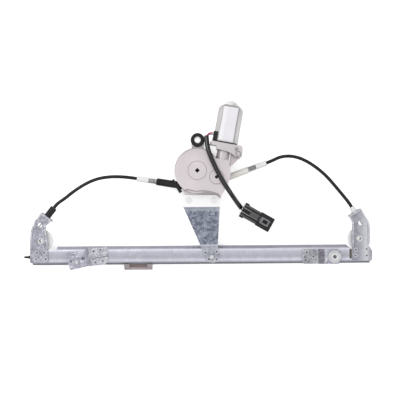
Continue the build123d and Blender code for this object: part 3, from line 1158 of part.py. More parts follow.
PARTS = {
    "guide_rail": guide_rail,
    "right_stop": right_stop,
    "left_bump_stop": left_stop,
    "left_end_bracket": left_end_bracket,
    "right_end_bracket": right_end_bracket,
    "left_pulley": lambda: pulley(LEFT_PULLEY),
    "right_pulley": lambda: pulley(RIGHT_PULLEY),
    "left_pulley_rivet": lambda: pulley_rivet(LEFT_PULLEY),
    "right_pulley_rivet": lambda: pulley_rivet(RIGHT_PULLEY),
    "motor_plate": motor_plate,
    "plate_rivets": plate_rivets,
    "left_mount": left_mount,
    "right_mount": right_mount,
    "mount_insert": mount_insert,
    "left_ferrule": left_ferrule,
    "right_ferrule": right_ferrule,
    "left_guide_sleeve": lambda: guide_sleeve(LEFT_LINE, LEFT_GUIDE, LEFT_GUIDE_R),
    "right_guide_sleeve": lambda: guide_sleeve(RIGHT_LINE, RIGHT_GUIDE, RIGHT_GUIDE_R),
    "left_spring": lambda: tension_spring(LEFT_LINE, LEFT_GUIDE[1], LEFT_SPRING_END),
    "right_spring": lambda: tension_spring(RIGHT_LINE, RIGHT_GUIDE[1], RIGHT_SPRING_END),
    "left_spring_ferrule": lambda: clear_ferrule(LEFT_LINE, LEFT_SPRING_END, LEFT_CLEAR_END),
    "right_spring_ferrule": lambda: clear_ferrule(RIGHT_LINE, RIGHT_SPRING_END, RIGHT_CLEAR_END),
    "left_conduit": left_conduit,
    "right_conduit": right_conduit,
    "drive_cable": drive_cable,
    "drum_housing": drum_housing,
    "housing_screws": housing_screws,
    "cable_drum": cable_drum,
    "output_shaft": output_shaft,
    "gear_cover": gear_cover,
    "gear_housing": gear_housing,
    "housing_foot": housing_foot,
    "vent_plug": vent_plug,
    "mount_grommet": mount_grommet,
    "grommet_sleeve": grommet_sleeve,
    "worm_wheel": worm_wheel,
    "wheel_dampers": wheel_dampers,
    "armature_shaft": armature_shaft,
    "shaft_bushes": shaft_bushes,
    "rotor_core": rotor_core,
    "armature_windings": armature_windings,
    "commutator": commutator,
    "brushes": brushes,
    "brush_holder": brush_holder,
    "magnets": magnets,
    "motor_can": motor_can,
    "motor_label": motor_label,
    "motor_screws": motor_screws,
    "carrier_plate": carrier_plate,
    "carrier_slider": carrier_slider,
    "carrier_rivets": carrier_rivets,
    "carrier_pad": carrier_pad,
    "glass_nut": glass_nut,
    "cable_nipples": cable_nipples,
    "connector_body": plug_body,
    "connector_lock": plug_lock,
    "connector_terminals": plug_terminals,
    "harness_sheath": harness_sheath,
    "harness_leads": harness_leads,
}

os.makedirs("parts", exist_ok=True)
for name, build in PARTS.items():
    export_step(build(), f"parts/{name}.step")
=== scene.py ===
# %% [markdown]
# # A cable window regulator, dressed for a close look
#
# A regulator raises the glass in a car's door: a motor turns a drum, the drum pulls a cable, and the
# cable pulls a carrier along a rail. The solids come from the CAD model and are already in the right
# place and at the right size. This notebook gives them their finishes, models the pieces whose looks
# need more than a plain solid, and lights the whole thing. Blender works in metres, while the sizes
# below are written in millimetres, and the regulator lies on its back.

# %% Load the frame
import bmesh
import bpy
import json
import math
from mathutils import Matrix, Vector


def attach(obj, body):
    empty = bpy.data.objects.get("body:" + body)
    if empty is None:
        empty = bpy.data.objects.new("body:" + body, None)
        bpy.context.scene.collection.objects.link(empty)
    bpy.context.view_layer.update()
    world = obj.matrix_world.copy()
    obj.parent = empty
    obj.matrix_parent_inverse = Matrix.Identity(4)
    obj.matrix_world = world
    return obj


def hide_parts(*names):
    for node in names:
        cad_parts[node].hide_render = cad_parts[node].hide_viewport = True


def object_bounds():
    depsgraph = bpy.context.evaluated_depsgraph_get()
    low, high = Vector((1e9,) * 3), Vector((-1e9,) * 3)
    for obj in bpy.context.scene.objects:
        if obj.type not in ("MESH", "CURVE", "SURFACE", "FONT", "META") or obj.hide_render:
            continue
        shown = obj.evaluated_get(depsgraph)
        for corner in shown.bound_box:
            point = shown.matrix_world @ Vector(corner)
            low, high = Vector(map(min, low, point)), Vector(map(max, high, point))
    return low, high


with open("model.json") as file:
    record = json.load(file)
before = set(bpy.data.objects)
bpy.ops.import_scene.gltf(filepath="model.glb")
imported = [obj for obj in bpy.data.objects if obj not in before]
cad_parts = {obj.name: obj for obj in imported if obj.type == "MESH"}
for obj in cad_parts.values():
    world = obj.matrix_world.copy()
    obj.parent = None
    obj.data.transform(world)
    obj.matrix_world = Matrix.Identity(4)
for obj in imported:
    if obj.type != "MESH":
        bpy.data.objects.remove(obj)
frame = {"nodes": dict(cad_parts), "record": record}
NODES = frame["nodes"]
RECORD = frame["record"]
cad_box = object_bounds()
MM = 0.001
BODY_OF = {node: body for body, nodes in RECORD["behaviour"]["bodies"].items() for node in nodes}
GROUND = cad_box[0][2]
print("CAD box", [round(v / MM, 1) for corner in cad_box for v in corner])

# %% [markdown]
# ## The camera
#
# The regulator is seen from straight above, so the camera only needs a place over its middle and a
# small roll. A camera could also be aimed with a constraint, but a fixed place is easier to repeat. A
# long lens keeps the perspective of the tall gear housing slight.

# %% Camera
VIEW_MIDDLE = (-16.6 * MM, 84.2 * MM)
VIEW_WIDTH = 590 * MM
VIEW_ROLL = -0.43  # degrees
LENS, SENSOR = 100.0, 36.0
camera_data = bpy.data.cameras.new("portrait_camera")
camera_data.lens = LENS
camera_data.sensor_width = SENSOR
camera = bpy.data.objects.new("portrait_camera", camera_data)
bpy.context.scene.collection.objects.link(camera)
camera.location = (*VIEW_MIDDLE, VIEW_WIDTH * LENS / SENSOR)
camera.rotation_euler = (0, 0, math.radians(VIEW_ROLL))
bpy.context.scene.camera = camera
bpy.context.scene.view_settings.view_transform = "Standard"
print("camera height", round(camera.location.z, 3))

# %% [markdown]
# ## The harness sheath
#
# A limp black sheath holds the motor's two wires. It leaves the motor beside the grommet, climbs over
# the gear housing and comes down to the connector on the ground. A swept mesh would do, but a NURBS
# curve of order three over a few given points bends the way such a sheath does, without any sharp
# corner, and each point can still be moved.

# %% A round cord from its route
FINE_CURVE, ROUND_CURVE = 14, 5  # how finely a cord is cut along its route and round itself


def cord_curve(name, route, radius):
    """A smooth round cord: a NURBS curve with the route's points as its control points."""
    data = bpy.data.curves.new(name, "CURVE")
    data.dimensions = "3D"
    spline = data.splines.new("NURBS")
    spline.points.add(len(route) - 1)
    for point, place in zip(spline.points, route):
        point.co = (*[value * MM for value in place], 1)
        point.radius = radius * MM
    spline.order_u = 3
    spline.use_endpoint_u = True
    data.bevel_depth = 1.0
    data.bevel_resolution = ROUND_CURVE
    data.resolution_u = FINE_CURVE
    data.use_fill_caps = True
    cord = bpy.data.objects.new(name, data)
    bpy.context.scene.collection.objects.link(cord)
    return cord


SHEATH_ROUTE = [(-6.5, 177.2, 21.0), (-6.2, 166.0, 24.5), (-3.0, 153.0, 28.0), (2.4, 139.6, 29.4),
                (10.0, 123.5, 29.4), (18.8, 108.0, 28.4), (27.2, 95.2, 24.5), (35.6, 83.2, 11.0),
                (43.6, 72.5, -3.0)]
SHEATH_RADIUS = 3.4
sheath = cord_curve("sheath", SHEATH_ROUTE, SHEATH_RADIUS)
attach(sheath, "root")
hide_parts("harness_sheath")
print("sheath", len(SHEATH_ROUTE), "points,", 2 * SHEATH_RADIUS, "mm thick")

# %% [markdown]
# ## The wires in the harness
#
# Red and blue wires show where the sheath leaves them bare: from the motor's wire block to the mouth of
# the sheath, and again for a few millimetres before the connector. They are the same kind of curve, only
# thinner, so the same helper makes them.

# %% Wires
WIRE_RADIUS = 0.8
WIRE_ROUTES = {
    "red_wire_top": [(3.7, 182.0, 22.4), (0.2, 182.2, 22.6), (-4.4, 180.6, 22.0),
                     (-6.6, 177.4, 21.2)],
    "blue_wire_top": [(3.3, 179.6, 20.6), (0.6, 180.4, 21.2), (-2.6, 179.7, 21.2),
                      (-5.1, 177.4, 20.6)],
    "red_wire_end": [(44.42, 72.9, -3.18), (46.9, 73.6, -4.4), (49.2, 72.2, -6.2),
                     (51.1, 68.05, -7.0)],
    "blue_wire_end": [(42.98, 71.82, -3.18), (44.0, 70.4, -5.6), (47.15, 68.15, -7.0),
                      (50.2, 66.4, -7.0)],
}
wires = {name: cord_curve(name, route, WIRE_RADIUS) for name, route in WIRE_ROUTES.items()}
for wire in wires.values():
    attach(wire, "root")
    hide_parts("harness_leads")
print("wires", sorted(wires))

# %% [markdown]
# ## Node groups for the skins of metal and plastic
#
# Several materials share the same surface effects: the spangle of zinc, the skin of a casting, the fine
# grain of moulded plastic, the ring of a clinched joint and the grime in a corner. Each effect is one
# node group, so a material only has to choose its values. Four small helpers keep the groups readable.

# %% Small helpers for shader nodes
def new_group(name, inputs, outputs):
    """An empty shader node group with named sockets, and its input and output nodes."""
    tree = bpy.data.node_groups.new(name, "ShaderNodeTree")
    for label, kind, default in inputs:
        socket = tree.interface.new_socket(label, in_out="INPUT", socket_type=kind)
        socket.default_value = default
    for label, kind in outputs:
        tree.interface.new_socket(label, in_out="OUTPUT", socket_type=kind)
    return tree, tree.nodes.new("NodeGroupInput"), tree.nodes.new("NodeGroupOutput")


def add_node(tree, kind, links=(), **values):
    """A node with its values set by socket name, and links given as (socket name, source socket)."""
    node = tree.nodes.new(kind)
    for label, value in values.items():
        if hasattr(node, label):
            setattr(node, label, value)
        else:
            node.inputs[label.replace("_", " ")].default_value = value
    for label, source in links:
        tree.links.new(source, node.inputs[label])
    return node


def spread(tree, source, low, high):
    """A value from 0 to 1 moved to the range from low to high."""
    node = tree.nodes.new("ShaderNodeMapRange")
    node.inputs["To Min"].default_value = low
    node.inputs["To Max"].default_value = high
    tree.links.new(source, node.inputs["Value"])
    return node.outputs["Result"]


def mixed(tree, factor, first, second):
    """A colour between two others; each may be a socket or a plain colour."""
    node = tree.nodes.new("ShaderNodeMix")
    node.data_type = "RGBA"
    for index, value in ((0, factor), (6, first), (7, second)):
        if isinstance(value, bpy.types.NodeSocket):
            tree.links.new(value, node.inputs[index])
        else:
            node.inputs[index].default_value = value
    return node.outputs[2]


COLOUR, NUMBER, VECTOR = "NodeSocketColor", "NodeSocketFloat", "NodeSocketVector"
print("socket kinds", COLOUR, NUMBER, VECTOR)

# %% [markdown]
# ### Zinc on sheet steel
#
# Zinc-plated sheet is not one even grey. It has crystals a few millimetres wide, each with its own
# brightness, and cloudy patches where it was handled. An image of it would repeat over half a metre of
# rail, so the cells of a Voronoi texture give the crystals and a soft noise gives the clouds.

# %% Zinc spangle
def make_zinc_group():
    """Crystals and clouds of zinc: a colour between two, a roughness and a height."""
    tree, start, end = new_group(
        "zinc_spangle",
        [("Light", COLOUR, (0.6, 0.62, 0.66, 1)), ("Dark", COLOUR, (0.4, 0.42, 0.47, 1)),
         ("Crystal Scale", NUMBER, 260.0), ("Cloud Scale", NUMBER, 45.0), ("Roughness", NUMBER, 0.35)],
        [("Colour", COLOUR), ("Roughness", NUMBER), ("Height", NUMBER)])
    place = add_node(tree, "ShaderNodeTexCoord").outputs["Object"]
    cells = add_node(tree, "ShaderNodeTexVoronoi",
                     [("Vector", place), ("Scale", start.outputs["Crystal Scale"])])
    bright = add_node(tree, "ShaderNodeSeparateColor", [("Color", cells.outputs["Color"])])
    clouds = add_node(tree, "ShaderNodeTexNoise",
                      [("Vector", place), ("Scale", start.outputs["Cloud Scale"])], Detail=6.0)
    both = add_node(tree, "ShaderNodeMath", [(0, bright.outputs[0]), (1, clouds.outputs["Fac"])],
                    operation="MULTIPLY")
    factor = spread(tree, both.outputs[0], 0.0, 1.6)
    colour = mixed(tree, factor, start.outputs["Dark"], start.outputs["Light"])
    rough = add_node(tree, "ShaderNodeMath",
                     [(0, spread(tree, clouds.outputs["Fac"], -0.12, 0.14)),
                      (1, start.outputs["Roughness"])], operation="ADD")
    tree.links.new(colour, end.inputs["Colour"])
    tree.links.new(rough.outputs[0], end.inputs["Roughness"])
    tree.links.new(bright.outputs[1], end.inputs["Height"])
    return tree


ZINC = make_zinc_group()
print("group", ZINC.name, len(ZINC.nodes), "nodes")

# %% [markdown]
# ### The skin of castings and mouldings
#
# A die casting is slightly cloudy with a grain of about a millimetre; a moulding has a much finer
# grain. Both are the same recipe, a fine noise for the height and a broad one for the colour, at
# different scales, so one group serves both.

# %% Cast and moulded skin
def make_skin_group():
    """Fine grain and broad patches: a colour between two, a roughness and a height."""
    tree, start, end = new_group(
        "moulded_skin",
        [("Light", COLOUR, (0.7, 0.7, 0.7, 1)), ("Dark", COLOUR, (0.6, 0.6, 0.6, 1)),
         ("Grain Scale", NUMBER, 900.0), ("Patch Scale", NUMBER, 30.0), ("Roughness", NUMBER, 0.45)],
        [("Colour", COLOUR), ("Roughness", NUMBER), ("Height", NUMBER)])
    place = add_node(tree, "ShaderNodeTexCoord").outputs["Object"]
    grain = add_node(tree, "ShaderNodeTexNoise",
                     [("Vector", place), ("Scale", start.outputs["Grain Scale"])], Detail=3.0)
    patch = add_node(tree, "ShaderNodeTexNoise",
                     [("Vector", place), ("Scale", start.outputs["Patch Scale"])], Detail=5.0)
    contrast = add_node(tree, "ShaderNodeMapRange", [("Value", patch.outputs["Fac"])],
                        From_Min=0.3, From_Max=0.7)
    colour = mixed(tree, contrast.outputs["Result"], start.outputs["Dark"], start.outputs["Light"])
    rough = add_node(tree, "ShaderNodeMath",
                     [(0, spread(tree, patch.outputs["Fac"], -0.1, 0.1)),
                      (1, start.outputs["Roughness"])], operation="ADD")
    tree.links.new(colour, end.inputs["Colour"])
    tree.links.new(rough.outputs[0], end.inputs["Roughness"])
    tree.links.new(grain.outputs["Fac"], end.inputs["Height"])
    return tree


SKIN = make_skin_group()
print("group", SKIN.name, len(SKIN.nodes), "nodes")

# %% [markdown]
# ### A finish is a Principled shader with one skin
#
# The group could hold the shader too, but then every export would have to look inside it, so the
# shader stays in the material and the group only feeds it. The bump distance is the real height of the
# grain, two hundredths of a millimetre.

# %% Make a finish
GRAIN_HEIGHT, RELIEF = 0.02 * MM, 0.6  # the height of the grain, and how much of it shows


def make_finish(name, skin, light, dark, roughness, scales, metallic=0.0, **plain):
    """A material whose colour, roughness and relief come from a skin group."""
    material = bpy.data.materials.new(name)
    material.use_nodes = True
    tree = material.node_tree
    shader = tree.nodes["Principled BSDF"]
    shader.inputs["Metallic"].default_value = metallic
    for label, value in plain.items():
        shader.inputs[label.replace("_", " ")].default_value = value
    group = tree.nodes.new("ShaderNodeGroup")
    group.node_tree = skin
    group.inputs["Light"].default_value = (*light, 1)
    group.inputs["Dark"].default_value = (*dark, 1)
    group.inputs["Roughness"].default_value = roughness
    group.inputs[2].default_value, group.inputs[3].default_value = scales
    relief = tree.nodes.new("ShaderNodeBump")
    relief.inputs["Distance"].default_value = GRAIN_HEIGHT
    relief.inputs["Strength"].default_value = RELIEF
    tree.links.new(group.outputs["Height"], relief.inputs["Height"])
    tree.links.new(group.outputs["Colour"], shader.inputs["Base Color"])
    tree.links.new(group.outputs["Roughness"], shader.inputs["Roughness"])
    tree.links.new(relief.outputs["Normal"], shader.inputs["Normal"])
    return material


print("grain", GRAIN_HEIGHT / MM, "mm high")

# %% [markdown]
# ### Painted light and shade that follow the form
#
# Pressed steel catches the light differently where it was bent. These tones paint that light and
# shade into the colour: painted highlights on the rail's bends and painted shade on its lips, painted
# shade on the motor plate's slope and a painted reflection on its band. Painting a map would do, but a
# colour ramp along one direction of the object needs no map. It multiplies the finish's colour, which
# keeps the spangle, or is mixed over it where it covers it.

# %% Tones along a direction
NORTH, EAST, UP = (0, 1, 0), (1, 0, 0), (0, 0, 1)
WHITE = (1, 1, 1)


def greys(*stops):
    """Stops of plain grey tones in full cover, from pairs of place and tone."""
    return [(place, (tone,) * 3, 1) for place, tone in stops]


def shifted(start, stops):
    """Stops moved along their direction."""
    return [(start + place, tone, cover) for place, tone, cover in stops]


def toned(finish, name, direction, stops, blend="MULTIPLY"):
    """A copy of a finish with a ramp laid along a direction: stops of place, tone and cover."""
    material = finish.copy()
    material.name = name
    tree = material.node_tree
    shader = tree.nodes["Principled BSDF"]
    colour = shader.inputs["Base Color"].links[0].from_socket
    place = add_node(tree, "ShaderNodeTexCoord").outputs["Object"]
    along = add_node(tree, "ShaderNodeVectorMath", [(0, place)], operation="DOT_PRODUCT")
    along.inputs[1].default_value = direction
    first, last = stops[0][0], stops[-1][0]
    ramp = tree.nodes.new("ShaderNodeValToRGB")
    scaled = add_node(tree, "ShaderNodeMapRange", [("Value", along.outputs["Value"])],
                      From_Min=first * MM, From_Max=last * MM)
    tree.links.new(scaled.outputs["Result"], ramp.inputs["Fac"])
    points = ramp.color_ramp.elements
    while len(points) < len(stops):
        points.new(0.5)
    for point, (at, tone, cover) in zip(points, stops):
        point.position = (at - first) / (last - first)
        point.color = (*tone, cover)
    both = tree.nodes.new("ShaderNodeMix")
    both.data_type = "RGBA"
    both.blend_type = blend
    tree.links.new(ramp.outputs["Alpha"], both.inputs[0])
    tree.links.new(colour, both.inputs[6])
    tree.links.new(ramp.outputs["Color"], both.inputs[7])
    tree.links.new(both.outputs[2], shader.inputs["Base Color"])
    return material


print("tones run north", NORTH, "east", EAST, "or up", UP)

# %% [markdown]
# ### Rings and pockets
#
# Round features collect a line of shade: the edge of a raised disc, the pocket of a clinched joint. The
# solids have the shapes, but that shade and the glint beside it are painted into the colour. An image
# could add those, and so can a mask, which needs no image: a narrow ring round an upright axis. A pocket
# is a ring of no radius.

# %% Ring mask
def make_ring_group():
    """A mask that is strong along a circle round an upright axis and fades within a width."""
    tree, start, end = new_group(
        "ring_mask", [("Centre", VECTOR, (0, 0, 0)), ("Radius", NUMBER, 0.01),
                      ("Width", NUMBER, 0.001), ("Strength", NUMBER, 0.5)], [("Mask", NUMBER)])
    place = add_node(tree, "ShaderNodeTexCoord").outputs["Object"]
    flat = add_node(tree, "ShaderNodeVectorMath", [(0, place)], operation="MULTIPLY")
    flat.inputs[1].default_value = (1, 1, 0)
    away = add_node(tree, "ShaderNodeVectorMath",
                    [(0, flat.outputs[0]), (1, start.outputs["Centre"])], operation="DISTANCE")
    off = add_node(tree, "ShaderNodeMath", [(0, away.outputs["Value"]), (1, start.outputs["Radius"])],
                   operation="SUBTRACT")
    far = add_node(tree, "ShaderNodeMath", [(0, off.outputs[0])], operation="ABSOLUTE")
    mask = add_node(tree, "ShaderNodeMapRange",
                    [("Value", far.outputs[0]), ("From Max", start.outputs["Width"]),
                     ("To Min", start.outputs["Strength"])], To_Max=0.0)
    tree.links.new(mask.outputs["Result"], end.inputs["Mask"])
    return tree


RING = make_ring_group()
print("group", RING.name, len(RING.nodes), "nodes")

# %% [markdown]
# ### Seams and clinched joints
#
# A clinched joint is pressed through two sheets, which leaves a pocket in a ring. The pocket gets a
# painted shade and the ring a painted highlight. One mask for all rings would need a long formula, so a
# material takes any number of them, one mixed over the other, each towards a tone of its own.

# %% Rings on a finish
def ringed(finish, centre, radius, width, strength, shade):
    """Mix a finish towards a shade along a ring."""
    tree = finish.node_tree
    shader = tree.nodes["Principled BSDF"]
    ring = tree.nodes.new("ShaderNodeGroup")
    ring.node_tree = RING
    for label, value in (("Centre", (centre[0] * MM, centre[1] * MM, 0)), ("Radius", radius * MM),
                         ("Width", width * MM), ("Strength", strength)):
        ring.inputs[label].default_value = value
    colour = shader.inputs["Base Color"].links[0].from_socket
    tree.links.new(mixed(tree, ring.outputs["Mask"], colour, (*shade, 1)), shader.inputs["Base Color"])


# a painted highlight on the ring, and a painted shade in the pocket
CLINCH_RING_GLINT = (2.3, 1.0, 0.75, (0.80, 0.80, 0.83))  # radius, width, strength and shade
CLINCH_POCKET_SHADE = (0.0, 2.0, 1.0, (0.05, 0.045, 0.05))


def clinched(finish, places):
    """Paint each clinched joint of a plate: a highlight on its ring and a shade in its pocket."""
    for place in places:
        ringed(finish, place, *CLINCH_RING_GLINT)
        ringed(finish, place, *CLINCH_POCKET_SHADE)


print("clinched joint", 2 * CLINCH_RING_GLINT[0], "mm wide")

# %% [markdown]
# ### Painted shade in corners
#
# Steps, grooves and inner corners get less light, and here that shade is painted into the colour. A map
# could hold it, but ambient occlusion of the piece by itself finds every such place, and the colour
# turns to the painted shade there.

# %% Painted shade in corners
def make_corner_shade_group():
    """A colour that turns to a painted shade where the piece shades itself."""
    tree, start, end = new_group(
        "corner_shade", [("Colour", COLOUR, (0.5, 0.5, 0.5, 1)), ("Corner Shade", COLOUR, (0.1, 0.1, 0.1, 1)),
                         ("Reach", NUMBER, 0.002), ("Amount", NUMBER, 0.8)], [("Colour", COLOUR)])
    near = add_node(tree, "ShaderNodeAmbientOcclusion", [("Distance", start.outputs["Reach"])],
                    only_local=True, samples=8)
    mask = add_node(tree, "ShaderNodeMapRange",
                    [("Value", near.outputs["AO"]), ("To Min", start.outputs["Amount"])],
                    From_Min=0.25, From_Max=0.95, To_Max=0.0)
    tree.links.new(mixed(tree, mask.outputs["Result"], start.outputs["Colour"],
                         start.outputs["Corner Shade"]), end.inputs["Colour"])
    return tree


CORNER_SHADE = make_corner_shade_group()


def shade_corners(finish, shade, reach, amount):
    """Paint shade into the corners of a finish."""
    tree = finish.node_tree
    shader = tree.nodes["Principled BSDF"]
    group = tree.nodes.new("ShaderNodeGroup")
    group.node_tree = CORNER_SHADE
    group.inputs["Corner Shade"].default_value = (*shade, 1)
    group.inputs["Reach"].default_value = reach * MM
    group.inputs["Amount"].default_value = amount
    tree.links.new(shader.inputs["Base Color"].links[0].from_socket, group.inputs["Colour"])
    tree.links.new(group.outputs["Colour"], shader.inputs["Base Color"])


print("group", CORNER_SHADE.name, len(CORNER_SHADE.nodes), "nodes")

# %% [markdown]
# ### Sheet metal and the die casting
#
# Each line below is one finish: its lighter and darker tone, its roughness, and the scales of crystals
# and clouds, or of grain and patches. Fully metallic zinc would mirror the room, while real plating
# scatters much of the light, so the shader is only about half metallic.

# %% Finishes of the metal
FINISHES = {
    "rail": make_finish("rail_zinc", ZINC, (0.84, 0.84, 0.95), (0.73, 0.73, 0.84), 0.42, (170, 20),
                        metallic=0.55),
    "bracket": make_finish("bracket_zinc", ZINC, (0.78, 0.79, 0.84), (0.36, 0.36, 0.42), 0.38, (330, 90),
                           metallic=0.55),
    # the plate's dark spangle is a painted shade, for the slope of the motor plate
    "plate": make_finish("plate_zinc", ZINC, (0.42, 0.45, 0.53), (0.07, 0.08, 0.125), 0.38, (330, 75),
                         metallic=0.5),
    "bright": make_finish("bright_zinc", ZINC, (0.92, 0.92, 0.93), (0.80, 0.80, 0.82), 0.32, (400, 60),
                          metallic=0.4),
    "band_rivet": make_finish("rivet_zinc", ZINC, (0.90, 0.89, 0.90), (0.84, 0.83, 0.84), 0.34,
                              (400, 60), metallic=0.2),
    "casting": make_finish("die_casting", SKIN, (0.725, 0.665, 0.685), (0.655, 0.605, 0.625), 0.40,
                           (700, 28), metallic=0.6),
    "can": make_finish("motor_zinc", SKIN, (0.78, 0.77, 0.77), (0.69, 0.68, 0.68), 0.34, (1500, 40),
                       metallic=0.45),
}
print("metal finishes", len(FINISHES))

# %% [markdown]
# ### Plastic and rubber
#
# Mouldings have no crystals, only a fine grain and very faint patches. Black plastic could be set to
# nought, but it is never fully black: a value near one percent keeps its form readable.

# %% Finishes of the mouldings
FINISHES.update({
    "black": make_finish("black_plastic", SKIN, (0.016, 0.016, 0.018), (0.008, 0.008, 0.010), 0.36,
                         (1200, 50), Specular_IOR_Level=0.3),
    "rubber": make_finish("black_rubber", SKIN, (0.016, 0.016, 0.017), (0.009, 0.009, 0.010), 0.5,
                          (1500, 60), Specular_IOR_Level=0.3),
    "sheath": make_finish("sheath_vinyl", SKIN, (0.014, 0.013, 0.014), (0.007, 0.007, 0.008), 0.2,
                          (500, 60), Specular_IOR_Level=0.7),
    # the lock's grey is a painted reflection
    "pad": make_finish("grey_pad", SKIN, (0.21, 0.20, 0.225), (0.13, 0.125, 0.14), 0.45, (700, 200)),
    "nylon": make_finish("natural_nylon", SKIN, (0.88, 0.88, 0.89), (0.81, 0.81, 0.82), 0.30, (900, 50)),
    "cream": make_finish("cream_plastic", SKIN, (0.90, 0.88, 0.83), (0.84, 0.82, 0.77), 0.38, (900, 50)),
    "shoe": make_finish("slider_acetal", SKIN, (0.44, 0.39, 0.405), (0.34, 0.30, 0.31), 0.35, (900, 60)),
    "brown": make_finish("wear_brown", SKIN, (0.30, 0.22, 0.20), (0.19, 0.13, 0.12), 0.6, (900, 90)),
    # the right stop is a dark olive piece in the gap between the right bracket and the rail
    "olive": make_finish("stop_rubber", SKIN, (0.11, 0.10, 0.065), (0.05, 0.045, 0.03), 0.6, (900, 90)),
})
print("finishes so far", len(FINISHES))

# %% [markdown]
# ### Wire, turned steel and the label
#
# Spring wire, the bare cable and turned pins are metal with so fine a grain that it only softens their
# highlights. The strands of the cable could be modelled, but at this size nobody would see them. The
# label is a plain white film, and the two wires have coloured insulation.

# %% Finishes of wire and small parts
FINISHES.update({
    "spring": make_finish("spring_wire", SKIN, (0.62, 0.62, 0.63), (0.46, 0.46, 0.47), 0.3, (1500, 120),
                          metallic=0.6),
    "cable": make_finish("cable_wire", SKIN, (0.46, 0.46, 0.47), (0.30, 0.30, 0.31), 0.38, (2500, 200),
                         metallic=0.85),
    "steel": make_finish("plated_steel", SKIN, (0.70, 0.70, 0.72), (0.58, 0.58, 0.60), 0.30, (1500, 80),
                         metallic=0.7),
    "socket": make_finish("socket_steel", SKIN, (0.02, 0.02, 0.02), (0.01, 0.01, 0.01), 0.5, (1500, 80),
                          metallic=0.6),
    "label": make_finish("label_film", SKIN, (0.93, 0.92, 0.94), (0.88, 0.87, 0.89), 0.35, (1500, 60)),
    "red": make_finish("red_wire_skin", SKIN, (0.78, 0.06, 0.15), (0.66, 0.045, 0.11), 0.35, (900, 80)),
    "blue": make_finish("blue_wire_skin", SKIN, (0.10, 0.035, 0.24), (0.06, 0.025, 0.17), 0.35,
                        (900, 80)),
})
print("finishes so far", len(FINISHES))

# %% [markdown]
# ### Painted glints and shade on edges
#
# The edges of the sheets and the black mouldings catch the light: their bevels get a paler second
# material, a painted highlight. The casting's bevels get a darker one, a painted line of shade. A shader
# could find the edges, but here each bevel is a face of its own, so it just gets a second material. The
# table says which finish has which edge.

# %% Finishes of the edges
FINISHES.update({
    "bright_glint_edge": make_finish("zinc_glint_edge", ZINC, (0.95, 0.95, 0.96), (0.78, 0.78, 0.80), 0.25,
                               (600, 200), metallic=0.3),
    "plate_glint_edge": make_finish("plate_glint_edge", ZINC, (0.66, 0.66, 0.69), (0.52, 0.52, 0.55), 0.3,
                              (600, 200), metallic=0.4),
    "casting_shade_edge": make_finish("casting_shade_edge", SKIN, (0.46, 0.42, 0.435), (0.34, 0.31, 0.32), 0.45,
                                (900, 120), metallic=0.4),
    "black_glint_edge": make_finish("black_glint_edge", SKIN, (0.22, 0.22, 0.23), (0.09, 0.09, 0.095), 0.35,
                              (900, 150)),
})
EDGES = {
    "left_bracket": "bright_glint_edge", "right_bracket": "bright_glint_edge", "left_mount": "bright_glint_edge",
    "right_mount": "bright_glint_edge", "plate": "plate_glint_edge", "casting": "casting_shade_edge",
    "black": "black_glint_edge", "plug": "black_glint_edge", "pad": "black_glint_edge",
}
print("finishes", len(FINISHES), "of which with an edge", len(EDGES))

# %% [markdown]
# ### The rail, from its lower lip to its upper one
#
# The rail is a roll-formed channel. Its web shines next to both bends and is duller in the middle, and
# the lips lie lower, in shade. Lamps could be placed for that, but one ramp across the rail is easier to
# set: it paints these highlights and this shade into the colour. It starts at the lower lip and ends at
# the upper one.

# %% Tones across the rail
# painted highlights and painted shade across the rail, from its lower lip to its upper one
RAIL_SHEEN_AND_SHADE = greys(
    (-10.75, 0.47), (-9.3, 0.21), (-8.2, 0.47), (-6.9, 0.75), (-4.4, 0.90), (-1.0, 0.63), (1.5, 0.57),
    (8.0, 0.69), (11.4, 0.96), (12.4, 0.94), (13.0, 0.68), (13.9, 0.68), (15.0, 0.42), (16.75, 0.68))
FINISHES["rail"] = toned(FINISHES["rail"], "rail_zinc_sheen_and_shade", NORTH, RAIL_SHEEN_AND_SHADE)
print("rail tones", len(RAIL_SHEEN_AND_SHADE))

# %% [markdown]
# ### The motor plate, from its foot to its band
#
# The plate is bent twice: its foot lies on the rail, its band lies on the gear housing, and a slope
# joins the two. The tones paint how each takes the light: the foot is painted pale, the slope keeps its
# dark spangle as painted shade, its bends get painted highlights and lines of painted shade, and the
# band is painted near white, a painted reflection. Multiplied tones could only darken it, so these are
# mixed over the spangle, each with its own cover.

# %% Tones along the motor plate
# painted light and shade along the motor plate, from its foot to its band
PLATE_SHEEN_AND_SHADE = [
    (-10.0, (0.70, 0.71, 0.76), 0.55), (-1.0, (0.66, 0.67, 0.72), 0.5), (4.5, (0.40, 0.41, 0.45), 0.5),
    (9.5, (0.66, 0.67, 0.73), 0.5), (15.5, (0.52, 0.53, 0.59), 0.5), (17.5, (0.64, 0.67, 0.77), 0.8),
    (20.0, (0.31, 0.34, 0.42), 0.2), (66.0, (0.31, 0.34, 0.42), 0.2), (70.0, (0.5, 0.53, 0.6), 0.6),
    (73.4, (0.30, 0.33, 0.38), 0.6), (74.2, WHITE, 0.97), (92.0, WHITE, 0.97)]
FINISHES["plate"] = toned(FINISHES["plate"], "plate_zinc_sheen_and_shade", NORTH, PLATE_SHEEN_AND_SHADE, "MIX")
print("plate tones", len(PLATE_SHEEN_AND_SHADE))

# %% [markdown]
# ### The two end brackets
#
# Each bracket is a flat sheet with a raised rim. The rim is painted bright, a painted highlight, so a
# ramp along the height changes tone just above the sheet's face, which needs no second material. The
# right one's face is painted darker than the left one's, and it also has a paler stripe over its
# pulley, a painted sheen.

